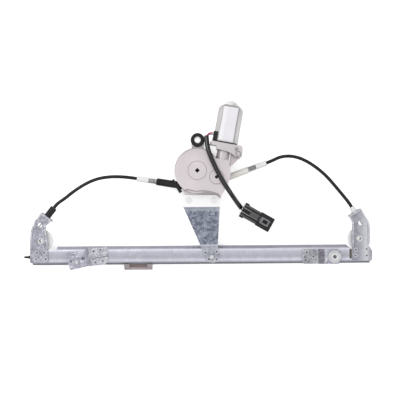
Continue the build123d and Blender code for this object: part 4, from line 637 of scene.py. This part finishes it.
# %% Tones of the end brackets
# the rim above the face is a painted highlight
SHEET_FACE, SHEET_RIM = 2.2, 2.6  # heights between which the tone changes
for name, tone in (("left_bracket", 0.74), ("right_bracket", 0.50)):
    face_and_rim_glint = [(SHEET_FACE, (tone, tone, tone + 0.04), 1), (SHEET_RIM, (1.0, 1.0, 0.98), 1)]
    FINISHES[name] = toned(FINISHES["bracket"], name + "_zinc", UP, face_and_rim_glint)
# a painted sheen over the right pulley
RIGHT_STRIPE_SHEEN = [
    (214.0, (0.55, 0.55, 0.60), 0.2), (219.0, (0.66, 0.67, 0.72), 0.35),
    (226.0, (0.80, 0.82, 0.85), 0.55), (229.0, (0.84, 0.85, 0.87), 0.6),
    (233.0, (0.70, 0.70, 0.74), 0.3)]
FINISHES["right_bracket"] = toned(FINISHES["right_bracket"], "right_bracket_toned", EAST,
                                  RIGHT_STRIPE_SHEEN, "MIX")
print("bracket finishes", FINISHES["left_bracket"].name, FINISHES["right_bracket"].name)

# %% [markdown]
# ### The two door mounts
#
# The left mount rises from its forked base to a tab with a folded edge, so its tones follow the height:
# painted highlights on its rib and folded edge, and painted shade on the rise between. The right one
# steps up to a round end with a threaded insert. Its step lies across the rail, so its tones are laid
# along the rail, counted from the insert: painted highlights on its bends and painted shade on the step.
# The insert's flange has a bright rim, a painted highlight, and a painted shade round its bore.

# %% Tones of the mounts
# painted highlights and painted shade up the left mount
LEFT_MOUNT_SHEEN_AND_SHADE = [
    (2.0, (0.97, 0.98, 0.97), 1), (2.4, (0.93, 0.94, 0.95), 1), (2.9, (1.0, 1.0, 1.0), 1),
    (3.3, (0.9, 0.9, 0.9), 1), (3.6, (0.66, 0.66, 0.68), 1), (5.9, (0.88, 0.86, 0.91), 1),
    (6.3, (0.90, 0.88, 0.93), 1), (6.6, (1.0, 1.0, 1.0), 1)]
FINISHES["left_mount"] = toned(FINISHES["bracket"], "left_mount_zinc", UP, LEFT_MOUNT_SHEEN_AND_SHADE)
STUD = (180.3, -0.5)  # axis of the insert
# a painted highlight on the insert's rim, and a painted shade round its bore
STUD_RIM_GLINT = (4.4, 1.0, 0.8, (0.93, 0.93, 0.94))  # radius, width, strength and shade
STUD_MOUTH_SHADE = (2.8, 1.0, 0.3, (0.55, 0.55, 0.58))
# painted highlights on the bends and painted shade on the step of the right mount
RIGHT_MOUNT_SHEEN_AND_SHADE = [
    (-46.6, (0.95, 0.95, 0.95), 1), (-44.8, (0.95, 0.95, 0.95), 1), (-44.4, (0.62, 0.63, 0.62), 1),
    (-27.0, (0.62, 0.63, 0.62), 1), (-24.6, (1.0, 1.0, 1.0), 1), (-22.6, (0.40, 0.38, 0.40), 1),
    (-15.4, (0.44, 0.42, 0.44), 1), (-13.0, (1.0, 1.0, 1.0), 1), (-9.0, (0.78, 0.78, 0.82), 1)]
FINISHES["right_mount"] = toned(FINISHES["bracket"], "right_mount_zinc", EAST,
                                shifted(STUD[0], RIGHT_MOUNT_SHEEN_AND_SHADE))
FINISHES["stud"] = FINISHES["steel"].copy()
ringed(FINISHES["stud"], STUD, *STUD_RIM_GLINT)
ringed(FINISHES["stud"], STUD, *STUD_MOUTH_SHADE)
print("mount tones", len(LEFT_MOUNT_SHEEN_AND_SHADE), len(RIGHT_MOUNT_SHEEN_AND_SHADE))

# %% [markdown]
# ### The connector
#
# The connector lies at a slant on the ground. Its ribs run along it, and the tops of some carry a pale
# line, a painted highlight. Both sides are alike, so one half of a ramp across it is written and
# mirrored. A second ramp along it dims the painted highlights on the front shroud. The grey lock gets a
# painted shade over the gap where its thin neck lies deep.

# %% Painted highlights of the connector
PLUG_AT, PLUG_ANGLE = (46.3, 69.7), math.radians(-29.9)
PLUG_ALONG = (math.cos(PLUG_ANGLE), math.sin(PLUG_ANGLE), 0)
PLUG_SIDE = (-math.sin(PLUG_ANGLE), math.cos(PLUG_ANGLE), 0)
PLUG_MIDDLE = PLUG_AT[0] * PLUG_SIDE[0] + PLUG_AT[1] * PLUG_SIDE[1]
PLUG_REAR = PLUG_AT[0] * PLUG_ALONG[0] + PLUG_AT[1] * PLUG_ALONG[1]
# painted highlights along the ribs, from the middle outwards
HALF_GLINTS = [(0.0, 0.0), (2.7, 0.0), (3.1, 0.34), (3.9, 0.34), (4.3, 0.0), (6.2, 0.0), (7.0, 0.10),
                (8.6, 0.14), (9.2, 0.03), (11.7, 0.03)]
PLUG_GLINTS = [(-place, tone) for place, tone in reversed(HALF_GLINTS)] + HALF_GLINTS[1:]
GLINT_COVER = 8  # a streak covers the black plastic by so many times its own tone, at most fully
glints = [(PLUG_MIDDLE + place, (tone,) * 3, min(1.0, GLINT_COVER * tone))
           for place, tone in PLUG_GLINTS]
FINISHES["plug"] = toned(FINISHES["black"], "plug_glints", PLUG_SIDE, glints, "MIX")
# the front shroud is darkened, which dims its painted highlights
front = shifted(PLUG_REAR, greys((0, 1), (26.8, 1), (27.8, 0.2), (48.8, 0.2)))
FINISHES["plug"] = toned(FINISHES["plug"], "plug_plastic", PLUG_ALONG, front)
# painted shade over the deep gap at the lock's neck
gap_shade = shifted(PLUG_REAR, greys((24.6, 0.5), (25.1, 0.05), (29.4, 0.05), (29.9, 1)))
FINISHES["pad"] = toned(FINISHES["pad"], "grey_pad_toned", PLUG_ALONG, gap_shade)
print("glints", len(PLUG_GLINTS))

# %% [markdown]
# ### Clinched joints
#
# The brackets, the plate and the mounts are clinched to the rail. A joint could be found in the mesh,
# but a short list of places is plainer. Those of a bracket are counted from its pulley, and those of the
# right mount from its insert.

# %% Clinched joints of the sheets
LEFT_PULLEY, RIGHT_PULLEY = (-251.4, 25.8), (217.8, 25.8)
CLINCHES = {
    "left_bracket": (LEFT_PULLEY, [(-5.8, -17.6), (4.6, -17.6), (-7.3, -27.1), (6.6, -27.1)]),
    "right_bracket": (RIGHT_PULLEY, [(-5.4, -16.7), (10.7, -15.6), (-6.1, -25.2), (10.7, -25.2)]),
    "plate": ((0, 0), [(-8.9, 6.7), (7.4, 8.1), (-4.4, -3.2), (7.0, -3.0)]),
    "left_mount": ((0, 0), [(-173.8, 9.9), (-163.9, 12.0), (-171.4, -6.5), (-160.5, -4.6)]),
    "right_mount": ((STUD[0], 0), [(-40.3, 6.2), (-30.4, -0.2), (-42.0, -5.7)]),
}
for name, (start, places) in CLINCHES.items():
    clinched(FINISHES[name], [(start[0] + x, start[1] + y) for x, y in places])
# the plate's screw hole gets a painted shade round it
HOLE_SHADE = (3.0, 1.4, 1.0, (0.04, 0.04, 0.045))  # shade in the plate's screw hole
ringed(FINISHES["plate"], (0, 0), *HOLE_SHADE)
print("clinched joints", sum(len(places) for start, places in CLINCHES.values()))

# %% [markdown]
# ### Places on the motor
#
# The motor leans, and its worm passes beside the wheel. Each place on it could be measured along the
# rail, but it is easier to give across and along the motor's own axis, counted from the wheel's.

# %% The motor's own directions
GEAR_AXIS, MOTOR_TILT = (-20.2, 127.3), math.radians(10.5)
AXIS_DISTANCE = 33.0  # from the wheel's axis to the motor's
ALONG_MOTOR = (math.sin(MOTOR_TILT), math.cos(MOTOR_TILT), 0)
ACROSS_MOTOR = (math.cos(MOTOR_TILT), -math.sin(MOTOR_TILT), 0)
AXIS_U = sum(place * way for place, way in zip(GEAR_AXIS, ALONG_MOTOR))
AXIS_V = sum(place * way for place, way in zip(GEAR_AXIS, ACROSS_MOTOR)) + AXIS_DISTANCE


def by_motor(v, u):
    """A place given across and along the motor's axis, from the wheel's axis."""
    cosine, sine = math.cos(MOTOR_TILT), math.sin(MOTOR_TILT)
    return GEAR_AXIS[0] + v * cosine + u * sine, GEAR_AXIS[1] - v * sine + u * cosine


print("motor axis", round(AXIS_U, 1), round(AXIS_V, 1))

# %% [markdown]
# ### Tones of the gear housing and the motor
#
# The casting is painted a little darker on its neck and flange, a painted shade. The can is drawn from
# sheet: it is painted bright at the crown, a painted reflection, and has a painted line of shade beside
# the label, where its flat turns into its round side. The label is painted lighter at one edge and
# darker at the other, a painted sheen and shade. The can's two directions need two ramps, one laid over
# the other.

# %% Tones of casting, label and can
# painted shade on the casting's neck and flange
CASTING_SHADE_TONES = [
    (-40, WHITE, 1), (16, WHITE, 1), (26, (0.93, 0.93, 0.93), 1), (34, (0.86, 0.88, 0.88), 1),
    (38, (0.88, 0.90, 0.89), 1), (47, (0.90, 0.93, 0.92), 1)]
# painted sheen and shade across the label
LABEL_SHEEN_AND_SHADE = [
    (-10.6, WHITE, 1), (-7, WHITE, 1), (-4, (0.91, 0.895, 0.93), 1), (8, (0.92, 0.91, 0.94), 1),
    (10.6, (0.86, 0.85, 0.87), 1)]
# a painted line of shade where the can's flat turns into its round side
CAN_SHADE_TONES = [
    (-18, (0.93, 0.92, 0.92), 1), (-12, (0.94, 0.93, 0.93), 1), (10.6, (0.94, 0.93, 0.93), 1),
    (11.3, (0.55, 0.55, 0.57), 1), (12.8, WHITE, 1), (18, WHITE, 1)]
# a painted reflection on the can's crown
CROWN_SHEEN = (0.97, 0.97, 0.98)
CROWN_SHEEN_TONES = [(100.8, CROWN_SHEEN, 0), (102.2, CROWN_SHEEN, 0.85), (110, CROWN_SHEEN, 0.85)]
FINISHES["casting"] = toned(FINISHES["casting"], "die_casting_toned", ALONG_MOTOR,
                            shifted(AXIS_U, CASTING_SHADE_TONES))
FINISHES["label"] = toned(FINISHES["label"], "label_film_toned", ACROSS_MOTOR,
                          shifted(AXIS_V, LABEL_SHEEN_AND_SHADE))
FINISHES["can"] = toned(FINISHES["can"], "motor_zinc_toned", ACROSS_MOTOR, shifted(AXIS_V, CAN_SHADE_TONES))
FINISHES["can"] = toned(FINISHES["can"], "motor_zinc_crown_sheen", ALONG_MOTOR,
                        shifted(AXIS_U, CROWN_SHEEN_TONES), "MIX")
print("casting", FINISHES["casting"].name, "can", FINISHES["can"].name)

# %% [markdown]
# ### Painted lines of shade and corner shade
#
# Two raised discs of the housing get fine painted lines of shade round them, and the flange gets a
# painted line of shade round its screw eye and a painted shadow that stands for a pocket beside it.
# Painted shade then fills the inner corners of the casting and of the pressed sheets. It is laid last,
# so that it covers the tones and the rings too.

# %% Painted lines of shade and corner shade
SECOND_BOSS = (29.2, -4.5)
FLANGE_EYE, FLANGE_POCKET_SHADE = (54.4, 33.8), (50.8, 40.0)
SEAM_SHADE = (0.34, 0.30, 0.32)
# painted lines of shade round the housing's discs and eye, and a painted shadow for the flange's pocket
HOUSING_SHADE_RINGS = [  # centre, radius, width, strength and shade
    (GEAR_AXIS, 13.4, 0.55, 0.75, SEAM_SHADE),
    (by_motor(*SECOND_BOSS), 9.9, 0.5, 0.75, SEAM_SHADE),
    (by_motor(*SECOND_BOSS), 6.2, 0.35, 0.75, SEAM_SHADE),
    (by_motor(*FLANGE_POCKET_SHADE), 0.0, 4.2, 0.9, (0.15, 0.13, 0.14)),
    (by_motor(*FLANGE_EYE), 3.7, 1.1, 1.0, (0.22, 0.20, 0.21)),
]
# painted shade in the inner corners of the casting and of the pressed sheets
CASTING_CORNER_SHADE = ((0.16, 0.14, 0.145), 3.5, 0.85)  # shade, reach and amount
SHEET_CORNER_SHADE = ((0.10, 0.10, 0.11), 2.0, 0.8)
for ring in HOUSING_SHADE_RINGS:
    ringed(FINISHES["casting"], *ring)
shade_corners(FINISHES["casting"], *CASTING_CORNER_SHADE)
for name in ("left_bracket", "right_bracket", "left_mount", "right_mount", "plate"):
    shade_corners(FINISHES[name], *SHEET_CORNER_SHADE)
print("casting material", len(FINISHES["casting"].node_tree.nodes), "nodes")

# %% [markdown]
# ### Give the harness its finishes
#
# Sheath and wires are curves, made before there was any material. A curve takes a material as a mesh
# does, and each wire's name begins with its colour, which picks its finish.

# %% Finishes of the harness
sheath.data.materials.append(FINISHES["sheath"])
for name, wire in wires.items():
    wire.data.materials.append(FINISHES[name.split("_")[0]])
print("harness finished with", FINISHES["sheath"].name)

# %% [markdown]
# ## Crisp solids with softened edges
#
# The CAD nodes come in as loose triangles. For a close look every pressed or moulded edge needs a small
# radius that catches the light. Cutting those radii by hand would take long, so a merged copy of each
# node gets a Bevel modifier of the radius its process leaves. Faces that meet at a shallow angle are
# shaded smooth, and weighted normals keep the large flat ones flat.

# %% Dress a CAD node
MERGE_WITHIN = 0.004 * MM
FLAT_WITHIN, SHARP_FROM = math.radians(0.6), math.radians(35)
EDGE_STEPS = 2


def dressed(node, finish, edge):
    """A merged copy of a CAD node with softened edges and a finish; it stands for the node."""
    mesh = NODES[node].data.copy()
    shape = bmesh.new()
    shape.from_mesh(mesh)
    bmesh.ops.remove_doubles(shape, verts=shape.verts, dist=MERGE_WITHIN)
    bmesh.ops.dissolve_limit(shape, angle_limit=FLAT_WITHIN, verts=shape.verts, edges=shape.edges)
    bmesh.ops.triangulate(shape, faces=[face for face in shape.faces if len(face.verts) > 4])
    shape.to_mesh(mesh)
    shape.free()
    mesh.materials.clear()
    mesh.materials.append(FINISHES[finish])
    mesh.polygons.foreach_set("use_smooth", [True] * len(mesh.polygons))
    mesh.set_sharp_from_angle(angle=SHARP_FROM)
    piece = bpy.data.objects.new(f"{node}_skin", mesh)
    bpy.context.scene.collection.objects.link(piece)
    if edge:
        bevel = piece.modifiers.new("soft_edges", "BEVEL")
        bevel.width = edge * MM
        bevel.segments = EDGE_STEPS
        bevel.limit_method = "ANGLE"
        bevel.angle_limit = SHARP_FROM
        if finish in EDGES:
            mesh.materials.append(FINISHES[EDGES[finish]])
            bevel.material = 1
        weighted = piece.modifiers.new("flat_faces", "WEIGHTED_NORMAL")
        weighted.keep_sharp = True
    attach(piece, BODY_OF[node])
    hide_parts(node)
    return piece


print("edges are softened where faces meet at", round(math.degrees(SHARP_FROM)), "degrees or more")

# %% [markdown]
# ### Which piece gets which finish
#
# Each row is a node, its finish and the radius of its edges in millimetres. The rolled rail and the
# drawn can get none, because their bends are already in the solid, and the label is too thin for one.

# %% Dress the nodes
DRESSES = [
    ("guide_rail", "rail", 0.0), ("left_end_bracket", "left_bracket", 0.45),
    ("right_end_bracket", "right_bracket", 0.45), ("motor_plate", "plate", 0.4),
    ("left_mount", "left_mount", 0.4), ("right_mount", "right_mount", 0.4),
    ("gear_housing", "casting", 0.5), ("housing_foot", "casting", 0.3), ("motor_can", "can", 0.0),
    ("drum_housing", "black", 0.4), ("gear_cover", "black", 0.3), ("connector_body", "plug", 0.35),
    ("connector_lock", "pad", 0.3), ("brush_holder", "black", 0.3), ("left_ferrule", "black", 0.35),
    ("right_ferrule", "nylon", 0.3), ("left_guide_sleeve", "black", 0.3),
    ("right_guide_sleeve", "cream", 0.3), ("left_spring_ferrule", "nylon", 0.3),
    ("right_spring_ferrule", "nylon", 0.3), ("left_bump_stop", "rubber", 0.3),
    ("right_stop", "olive", 0.2), ("grommet_sleeve", "bright", 0.2), ("left_pulley", "nylon", 0.2),
    ("right_pulley", "nylon", 0.2), ("left_pulley_rivet", "steel", 0.2),
    ("right_pulley_rivet", "steel", 0.2), ("plate_rivets", "band_rivet", 0.2),
    ("mount_insert", "stud", 0.2), ("motor_label", "label", 0.0), ("motor_screws", "steel", 0.2),
    ("vent_plug", "rubber", 0.1), ("carrier_slider", "shoe", 0.3), ("carrier_pad", "brown", 0.1),
    ("carrier_plate", "plate", 0.3), ("glass_nut", "steel", 0.2), ("housing_screws", "steel", 0.2),
]
skins = {node: dressed(node, finish, edge) for node, finish, edge in DRESSES}
print("dressed", len(skins), "nodes")

# %% [markdown]
# ## The harness
#
# A real harness can be laid in many ways. Here the sheath keeps the one route given above, from the
# motor's wire block to the connector, and the four short wires keep theirs.

# %% [markdown]
# ## Conduits, the cable and the inner pieces
#
# These keep their CAD shape: the conduits' arcs are already smooth, and the gears, the windings and the
# pins are inside the housings. They only need a finish.

# %% Finishes for nodes that keep their CAD shape
PLAIN = {
    "left_conduit": "black", "right_conduit": "black", "drive_cable": "cable", "cable_drum": "cream",
    "output_shaft": "socket", "worm_wheel": "cream", "wheel_dampers": "rubber",
    "armature_shaft": "steel", "shaft_bushes": "steel", "rotor_core": "steel",
    "armature_windings": "brown", "commutator": "brown", "brushes": "black", "magnets": "black",
    "carrier_rivets": "steel", "cable_nipples": "steel", "connector_terminals": "steel",
}
for node, finish in PLAIN.items():
    NODES[node].data.materials.clear()
    NODES[node].data.materials.append(FINISHES[finish])
print("plain", len(PLAIN), "nodes")

# %% [markdown]
# ## The take-up springs
#
# Each conduit can slide a few millimetres in its guide, and a spring keeps the cable taut. It is drawn
# wire wound round the conduit, with its end turns closed. The springs lie on the two lines in which the
# cable leaves the drum, so those come first: each is a matrix that puts X along the cable.

# %% The two cable lines
CABLE_LEVEL = -5.5
DRUM_RADIUS = 25.0
LEFT_ANGLE, RIGHT_ANGLE = 170.7, 20.2  # degrees in which the cable leaves the drum


def cable_frame(angle, touch):
    """The matrix of a cable line: X along it, from the place where it leaves the drum."""
    turn = Matrix.Rotation(math.radians(angle), 4, "Z")
    return Matrix.Translation((touch[0] * MM, touch[1] * MM, CABLE_LEVEL * MM)) @ turn


def drum_touch(angle, side):
    """Where a cable line leaves the drum."""
    turn = math.radians(angle)
    away = side * DRUM_RADIUS
    return GEAR_AXIS[0] - away * math.sin(turn), GEAR_AXIS[1] + away * math.cos(turn)


LEFT_LINE = cable_frame(LEFT_ANGLE, drum_touch(LEFT_ANGLE, 1))
RIGHT_LINE = cable_frame(RIGHT_ANGLE, drum_touch(RIGHT_ANGLE, -1))
print("left line from", [round(value / MM, 1) for value in LEFT_LINE.translation])

# %% [markdown]
# ### From a shape to a piece
#
# Every piece modelled here ends the same way: its normals are turned outwards, it becomes a mesh with a
# finish, it is hung on the body it rides on, and the nodes it stands for are hidden. One helper does all
# that, so that no piece misses a step.

# %% Turn a shape into a piece
HEAL_WITHIN = 0.002 * MM
CREASE_FROM = math.radians(40)


def new_piece(name, shape, finish, nodes, body="root"):
    """Turn a bmesh into a piece that rides on a body, stands for some nodes and has a finish."""
    bmesh.ops.recalc_face_normals(shape, faces=shape.faces)
    mesh = bpy.data.meshes.new(name)
    shape.to_mesh(mesh)
    shape.free()
    mesh.materials.append(FINISHES[finish])
    mesh.polygons.foreach_set("use_smooth", [True] * len(mesh.polygons))
    mesh.set_sharp_from_angle(angle=CREASE_FROM)
    piece = bpy.data.objects.new(name, mesh)
    bpy.context.scene.collection.objects.link(piece)
    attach(piece, body)
    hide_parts(*nodes)
    return piece


print("creases stay sharp from", round(math.degrees(CREASE_FROM)), "degrees")

# %% [markdown]
# ### Winding a spring
#
# The wire's small round section is spun round the cable's line with a step along it, which makes the
# coil. The closed end turns are the same spin with a step of one wire. A Screw modifier could make the
# open turns, but not the closed ones in one piece with them.

# %% Wind a spring
SPRING_RADIUS, SPRING_WIRE = 4.2, 0.62
WIRE_SIDES, TURN_STEPS = 8, 20


def spring(node, line, start, end, open_turns):
    """A coil from start to end along a cable line: a closed turn, open turns, a closed turn."""
    wire = SPRING_WIRE * MM
    shape = bmesh.new()
    circle = bmesh.ops.create_circle(shape, cap_ends=True, segments=WIRE_SIDES, radius=wire)
    bmesh.ops.translate(shape, verts=circle["verts"],
                        vec=((start * MM) + wire, SPRING_RADIUS * MM - wire, 0))
    geometry = [*shape.faces, *shape.edges, *shape.verts]
    closed = 2 * wire
    opened = ((end - start) * MM - 2 * closed - 2 * wire) / open_turns
    for turns, step in ((1, closed), (open_turns, opened), (1, closed)):
        wound = bmesh.ops.spin(shape, geom=geometry, cent=(0, 0, 0), axis=(1, 0, 0),
                               dvec=(step / TURN_STEPS, 0, 0), angle=2 * math.pi * turns,
                               steps=TURN_STEPS * turns, use_merge=False)
        geometry = wound["geom_last"]
    bmesh.ops.holes_fill(shape, edges=[edge for edge in shape.edges if edge.is_boundary], sides=0)
    bmesh.ops.remove_doubles(shape, verts=shape.verts, dist=HEAL_WITHIN)
    bmesh.ops.transform(shape, matrix=line, verts=shape.verts)
    return new_piece(node + "_coil", shape, "spring", [node])


OPEN_TURNS = 5
left_coil = spring("left_spring", LEFT_LINE, 57.1, 68.8, OPEN_TURNS)
right_coil = spring("right_spring", RIGHT_LINE, 70.8, 82.9, OPEN_TURNS)
print("springs", len(left_coil.data.vertices), len(right_coil.data.vertices), "vertices")

# %% [markdown]
# ## The rubber grommet in the motor's ear
#
# The ear doesn't touch the door: a rubber spool sits in it, and a bright sleeve in the spool takes the
# screw. Moulded rubber has no sharp corners, so the spool's profile is drawn as half a section with
# bevelled corners and spun once round. Two cylinders and a Boolean would leave its corners hard.

# %% Turn a piece round an upright axis
CORNER_STEPS, ROUND_STEPS = 3, 64


def turned(name, profile, place, round_by, finish, nodes):
    """A closed profile of (radius, height) points, its corners rounded, spun round an upright axis."""
    shape = bmesh.new()
    corners = [shape.verts.new((radius * MM, 0, height * MM)) for radius, height in profile]
    face = shape.faces.new(corners)
    bmesh.ops.bevel(shape, geom=corners, offset=round_by * MM, segments=CORNER_STEPS, profile=0.5,
                    affect="VERTICES", material=-1)
    face = shape.faces[:][0]
    bmesh.ops.spin(shape, geom=[face, *face.edges, *face.verts], cent=(0, 0, 0), axis=(0, 0, 1),
                   dvec=(0, 0, 0), angle=2 * math.pi, steps=ROUND_STEPS, use_merge=True)
    loose = [face for face in shape.faces if len(face.verts) > 4]
    bmesh.ops.delete(shape, geom=loose, context="FACES_ONLY")
    bmesh.ops.remove_doubles(shape, verts=shape.verts, dist=HEAL_WITHIN)
    bmesh.ops.translate(shape, verts=shape.verts, vec=(place[0] * MM, place[1] * MM, 0))
    return new_piece(name, shape, finish, nodes)


EAR = by_motor(-7.4, 44.1)
GROMMET_ROUND = 0.6
GROMMET = [(4.78, 3.6), (10.2, 3.6), (10.2, 5.9), (7.4, 5.9), (7.4, 13.1), (10.2, 13.1), (10.2, 15.4),
           (4.78, 15.4)]
spool = turned("grommet_spool", GROMMET, EAR, GROMMET_ROUND, "rubber", ["mount_grommet"])
print("grommet", len(spool.data.vertices), "vertices")

# %% [markdown]
# ## The screw eye of the flange
#
# The can is screwed to a thick flange of the gear housing. A short eye round one screw hole stands a
# little proud of the cast face. It is as round as the grommet, so the same helper turns it, with a finer
# corner, and it has the casting's finish because it is part of the casting.

# %% Screw eye
EYE_BACK, EYE_FRONT = 26.9, 28.2
EYE_BORE, EYE_RIM, EYE_ROUND = 1.6, 3.0, 0.25  # inner radius, outer radius and corner
EYE = [(EYE_BORE, EYE_BACK), (EYE_RIM, EYE_BACK), (EYE_RIM, EYE_FRONT), (EYE_BORE, EYE_FRONT)]
eye = turned("flange_eye", EYE, by_motor(*FLANGE_EYE), EYE_ROUND, "casting", ["gear_housing"])
print("eye", len(eye.data.vertices), "vertices")

# %% [markdown]
# ## The floor and the light
#
# The regulator lies on a white sheet in a light tent. Lit only by the tent, the sheet would look pale
# grey, so it also glows a little, for the camera alone. That brings it to white wherever the regulator
# doesn't shade it, and none of its glow reaches the pieces.

# %% Floor
FLOOR_LIFT = 0.55  # how much the sheet glows for the camera
FLOOR_REACH, FLOOR_GAP = 4.0, 0.2 * MM  # half the sheet's width, and the gap above it, in metres
SHEET_WHITE, SHEET_ROUGHNESS, SHEET_SHINE = (0.92, 0.92, 0.92, 1), 0.9, 0.1


def make_floor():
    """A wide white sheet just under the object; it is no part of it."""
    shape = bmesh.new()
    bmesh.ops.create_grid(shape, x_segments=1, y_segments=1, size=FLOOR_REACH)
    bmesh.ops.translate(shape, verts=shape.verts, vec=(0, 0, GROUND - FLOOR_GAP))
    mesh = bpy.data.meshes.new("floor_sheet")
    shape.to_mesh(mesh)
    shape.free()
    floor = bpy.data.objects.new("floor_sheet", mesh)
    bpy.context.scene.collection.objects.link(floor)
    material = bpy.data.materials.new("white_sheet")
    material.use_nodes = True
    tree = material.node_tree
    shader = tree.nodes["Principled BSDF"]
    shader.inputs["Base Color"].default_value = SHEET_WHITE
    shader.inputs["Roughness"].default_value = SHEET_ROUGHNESS
    shader.inputs["Specular IOR Level"].default_value = SHEET_SHINE
    rays = tree.nodes.new("ShaderNodeLightPath")
    lift = tree.nodes.new("ShaderNodeMath")
    lift.operation = "MULTIPLY"
    lift.inputs[1].default_value = FLOOR_LIFT
    tree.links.new(rays.outputs["Is Camera Ray"], lift.inputs[0])
    shader.inputs["Emission Color"].default_value = (1, 1, 1, 1)
    tree.links.new(lift.outputs[0], shader.inputs["Emission Strength"])
    mesh.materials.append(material)


make_floor()
print("floor", 2 * FLOOR_REACH, "m wide, at", round(GROUND / MM, 1), "mm")

# %% [markdown]
# ### The tent's light
#
# The tent is brightest overhead and falls off towards the horizon, for diffuse light and reflections
# alike, so that walls and bent sheet metal show where they turn away. An even white world would be
# simpler, but every form in it would look flat. The camera itself sees plain white, and so do rays that
# pass through clear plastic.

# %% World
TENT_LOW, TENT_HIGH = 0.26, 0.97  # light at the horizon and overhead
SHINE_LOW, SHINE_HIGH = 0.16, 1.0  # the same as seen in reflections


def make_world():
    """A tent of light that is dimmer towards the horizon."""
    world = bpy.data.worlds.new("light_tent")
    bpy.context.scene.world = world
    world.use_nodes = True
    tree = world.node_tree
    background = tree.nodes["Background"]
    rays = tree.nodes.new("ShaderNodeLightPath")
    place = tree.nodes.new("ShaderNodeTexCoord")
    split = tree.nodes.new("ShaderNodeSeparateXYZ")
    tree.links.new(place.outputs["Generated"], split.inputs[0])
    glow = mixed(tree, split.outputs["Z"], (TENT_LOW,) * 3 + (1,), (TENT_HIGH,) * 3 + (1,))
    shine = mixed(tree, split.outputs["Z"], (SHINE_LOW,) * 3 + (1,), (SHINE_HIGH,) * 3 + (1,))
    seen = add_node(tree, "ShaderNodeMath", [(0, rays.outputs["Is Camera Ray"]),
                                            (1, rays.outputs["Is Transmission Ray"])],
                    operation="MAXIMUM")
    lit = mixed(tree, rays.outputs["Is Glossy Ray"], glow, shine)
    shown = mixed(tree, seen.outputs[0], lit, (1, 1, 1, 1))
    tree.links.new(shown, background.inputs["Color"])


make_world()
print("tent from", TENT_LOW, "to", TENT_HIGH)

# %% [markdown]
# ### Lamps
#
# Two large lamps add the soft direction that makes a form readable. The one on the window's side is
# the stronger, and the other fills the shadows that it leaves. Small lamps would throw hard shadows.

# %% Lamps
LAMP_AIM = Vector((0, 0.08, 0))  # near the middle of the regulator, in metres


def soft_lamp(name, place, size, power):
    """A rectangular lamp that faces the regulator."""
    data = bpy.data.lights.new(name, "AREA")
    data.shape = "RECTANGLE"
    data.size, data.size_y = size
    data.energy = power
    lamp = bpy.data.objects.new(name, data)
    bpy.context.scene.collection.objects.link(lamp)
    lamp.location = place
    lamp.rotation_euler = (LAMP_AIM - Vector(place)).to_track_quat("-Z", "Y").to_euler()
    return lamp


lamps = [soft_lamp("window_side", (-1.2, 1.3, 1.6), (1.4, 1.4), 17.0),
         soft_lamp("fill_side", (1.4, -0.9, 1.5), (1.2, 1.2), 6.0)]
print("lamps", [lamp.name for lamp in lamps])
